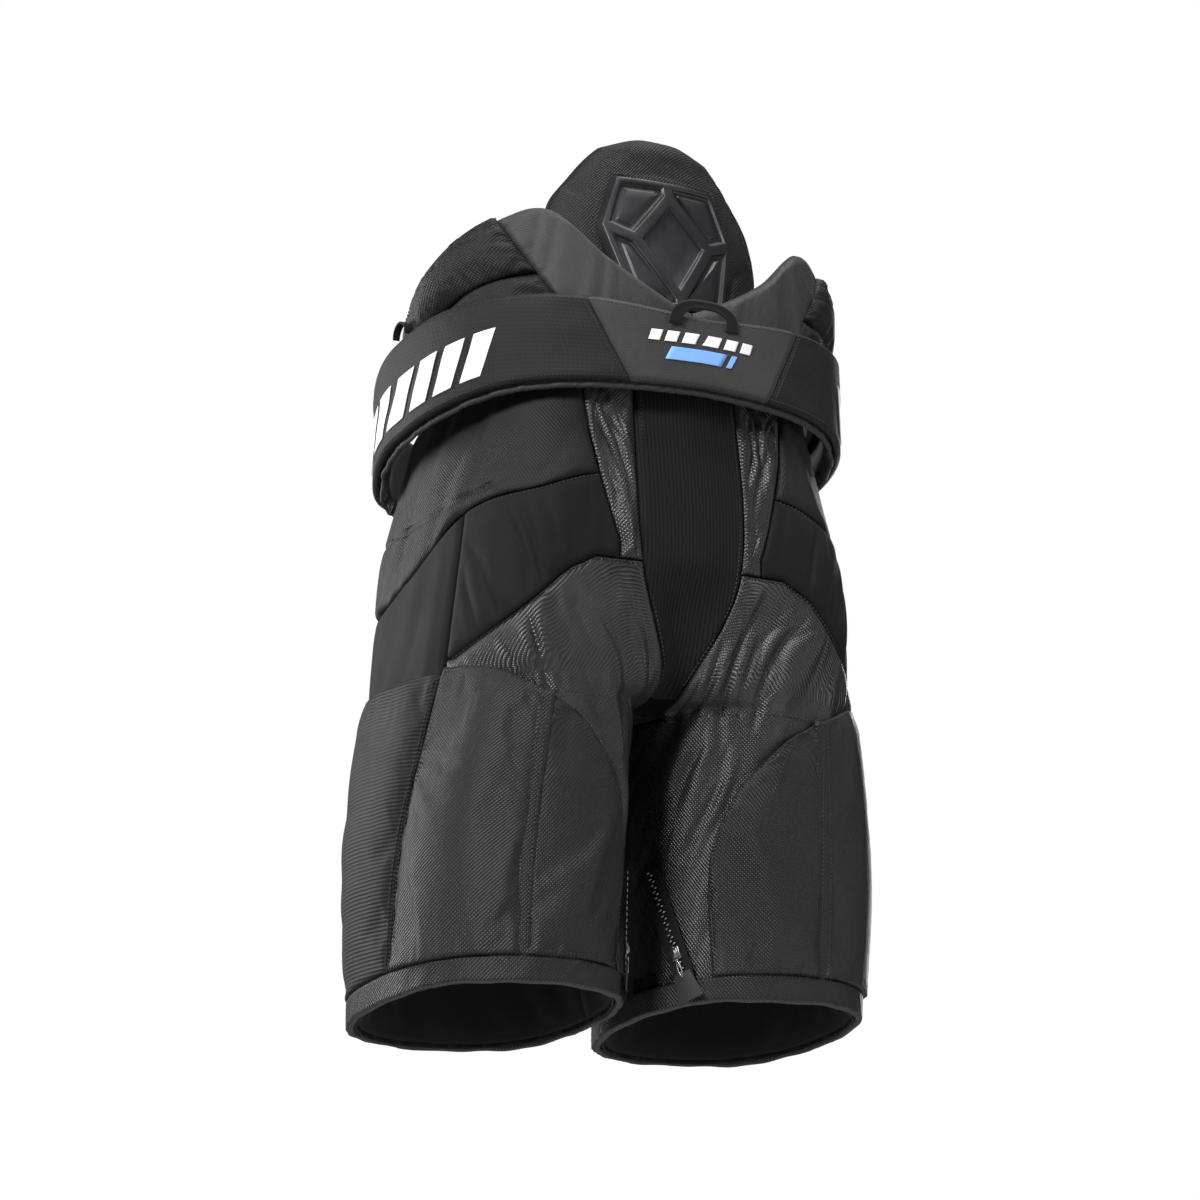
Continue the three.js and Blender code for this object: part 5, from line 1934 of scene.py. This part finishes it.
@dataclass
class Studio:
    """A pale floor, soft lights and the camera."""

    azimuth: float = -29.0
    distance: float = 2800.0
    camera_height: float = -346.0
    target: tuple[float, float] = (-6.0, 354.0)
    lens: float = 109.2
    floor_height: float = -1.2

    def build(self) -> None:
        """Makes the whole studio."""
        self.build_camera()
        self.build_lights()
        self.build_floor()
        self.build_air()

    def build_camera(self) -> None:
        """A long lens behind the wearer's left side, a little below the hem."""
        turn = math.radians(self.azimuth)
        spot = Vector((math.sin(turn) * self.distance, -math.cos(turn) * self.distance, self.camera_height))
        across = Vector((math.cos(turn), math.sin(turn), 0))
        aim = across * self.target[0] + Vector((0, 0, self.target[1]))
        forward = (aim - spot).normalized()
        right = forward.cross(Vector((0, 0, 1))).normalized()
        up = right.cross(forward)
        axes = Matrix((right, up, -forward)).transposed()
        data = bpy.data.cameras.new("camera")
        data.lens, data.sensor_width, data.clip_end = self.lens, 36, 50
        camera = bpy.data.objects.new("camera", data)
        lean = Matrix.Rotation(LEAN, 3, "X")
        camera.matrix_world = Matrix.Translation(TO_ROW @ spot) @ (lean @ axes).to_4x4()
        bpy.context.scene.collection.objects.link(camera)
        bpy.context.scene.camera = camera

    def lamp(self, name: str, spot: tuple[float, float, float], size: float, power: float) -> None:
        """A soft square lamp that faces the pants."""
        data = bpy.data.lights.new(name, "AREA")
        data.energy, data.size = power, size
        lamp = bpy.data.objects.new(name, data)
        lamp.location = spot
        aim = Vector((0, 0, 0.32)) - Vector(spot)
        lamp.rotation_euler = aim.to_track_quat("-Z", "Y").to_euler()
        bpy.context.scene.collection.objects.link(lamp)

    def build_lights(self) -> None:
        """A key from the left, a fill from the right and two lamps from the front."""
        self.lamp("key", (-2.1, -1.5, 1.4), 0.8, 105)
        self.lamp("top", (0.3, -0.7, 2.3), 1.0, 34)
        self.lamp("fill", (1.9, -1.9, 0.2), 1.2, 20)
        self.lamp("front_left", (-1.5, 1.7, 1.1), 1.2, 42)
        self.lamp("front_right", (1.5, 1.7, 0.9), 1.2, 32)

    def build_floor(self) -> None:
        """A plain pale floor well below the camera."""
        bm = bmesh.new()
        bmesh.ops.create_grid(bm, x_segments=2, y_segments=2, size=9)
        bmesh.ops.translate(bm, vec=(0, 0, self.floor_height), verts=bm.verts)
        mesh = bpy.data.meshes.new("floor")
        bm.to_mesh(mesh)
        bm.free()
        floor = bpy.data.objects.new("floor", mesh)
        bpy.context.scene.collection.objects.link(floor)
        paint = Paint("floor")
        cloud = paint.grain(2, 2)
        rough = cloud * 0.1 + 0.8
        mesh.materials.append(paint.finish(paint.blend(cloud, (0.78, 0.78, 0.78), (0.84, 0.84, 0.84)), rough,
                                           None, 0, {}))

    def build_air(self) -> None:
        """White air behind the pants, dimmer as a light than as a backdrop."""
        world = bpy.data.worlds.new("air")
        world.use_nodes = True
        bpy.context.scene.world = world
        tree = world.node_tree
        back, path = tree.nodes["Background"], tree.nodes.new("ShaderNodeLightPath")
        strength = tree.nodes.new("ShaderNodeMapRange")
        strength.inputs["To Min"].default_value = 0.06
        strength.inputs["To Max"].default_value = 1.0
        tree.links.new(path.outputs["Is Camera Ray"], strength.inputs["Value"])
        tree.links.new(strength.outputs[0], back.inputs["Strength"])
        back.inputs["Color"].default_value = (1, 1, 1, 1)
        bpy.context.scene.view_settings.view_transform = "Standard"


def main() -> None:
    """Builds the studio and the pants, piece by piece."""
    logging.basicConfig(level=logging.INFO, format="%(name)s %(message)s")
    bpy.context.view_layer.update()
    Studio().build()
    for side in Side:
        Leg(side).build()
        StretchZone(side).build()
    Hips().build()
    Belt().build()
    BackGuards().build()


if __name__ == "__main__":
    main()
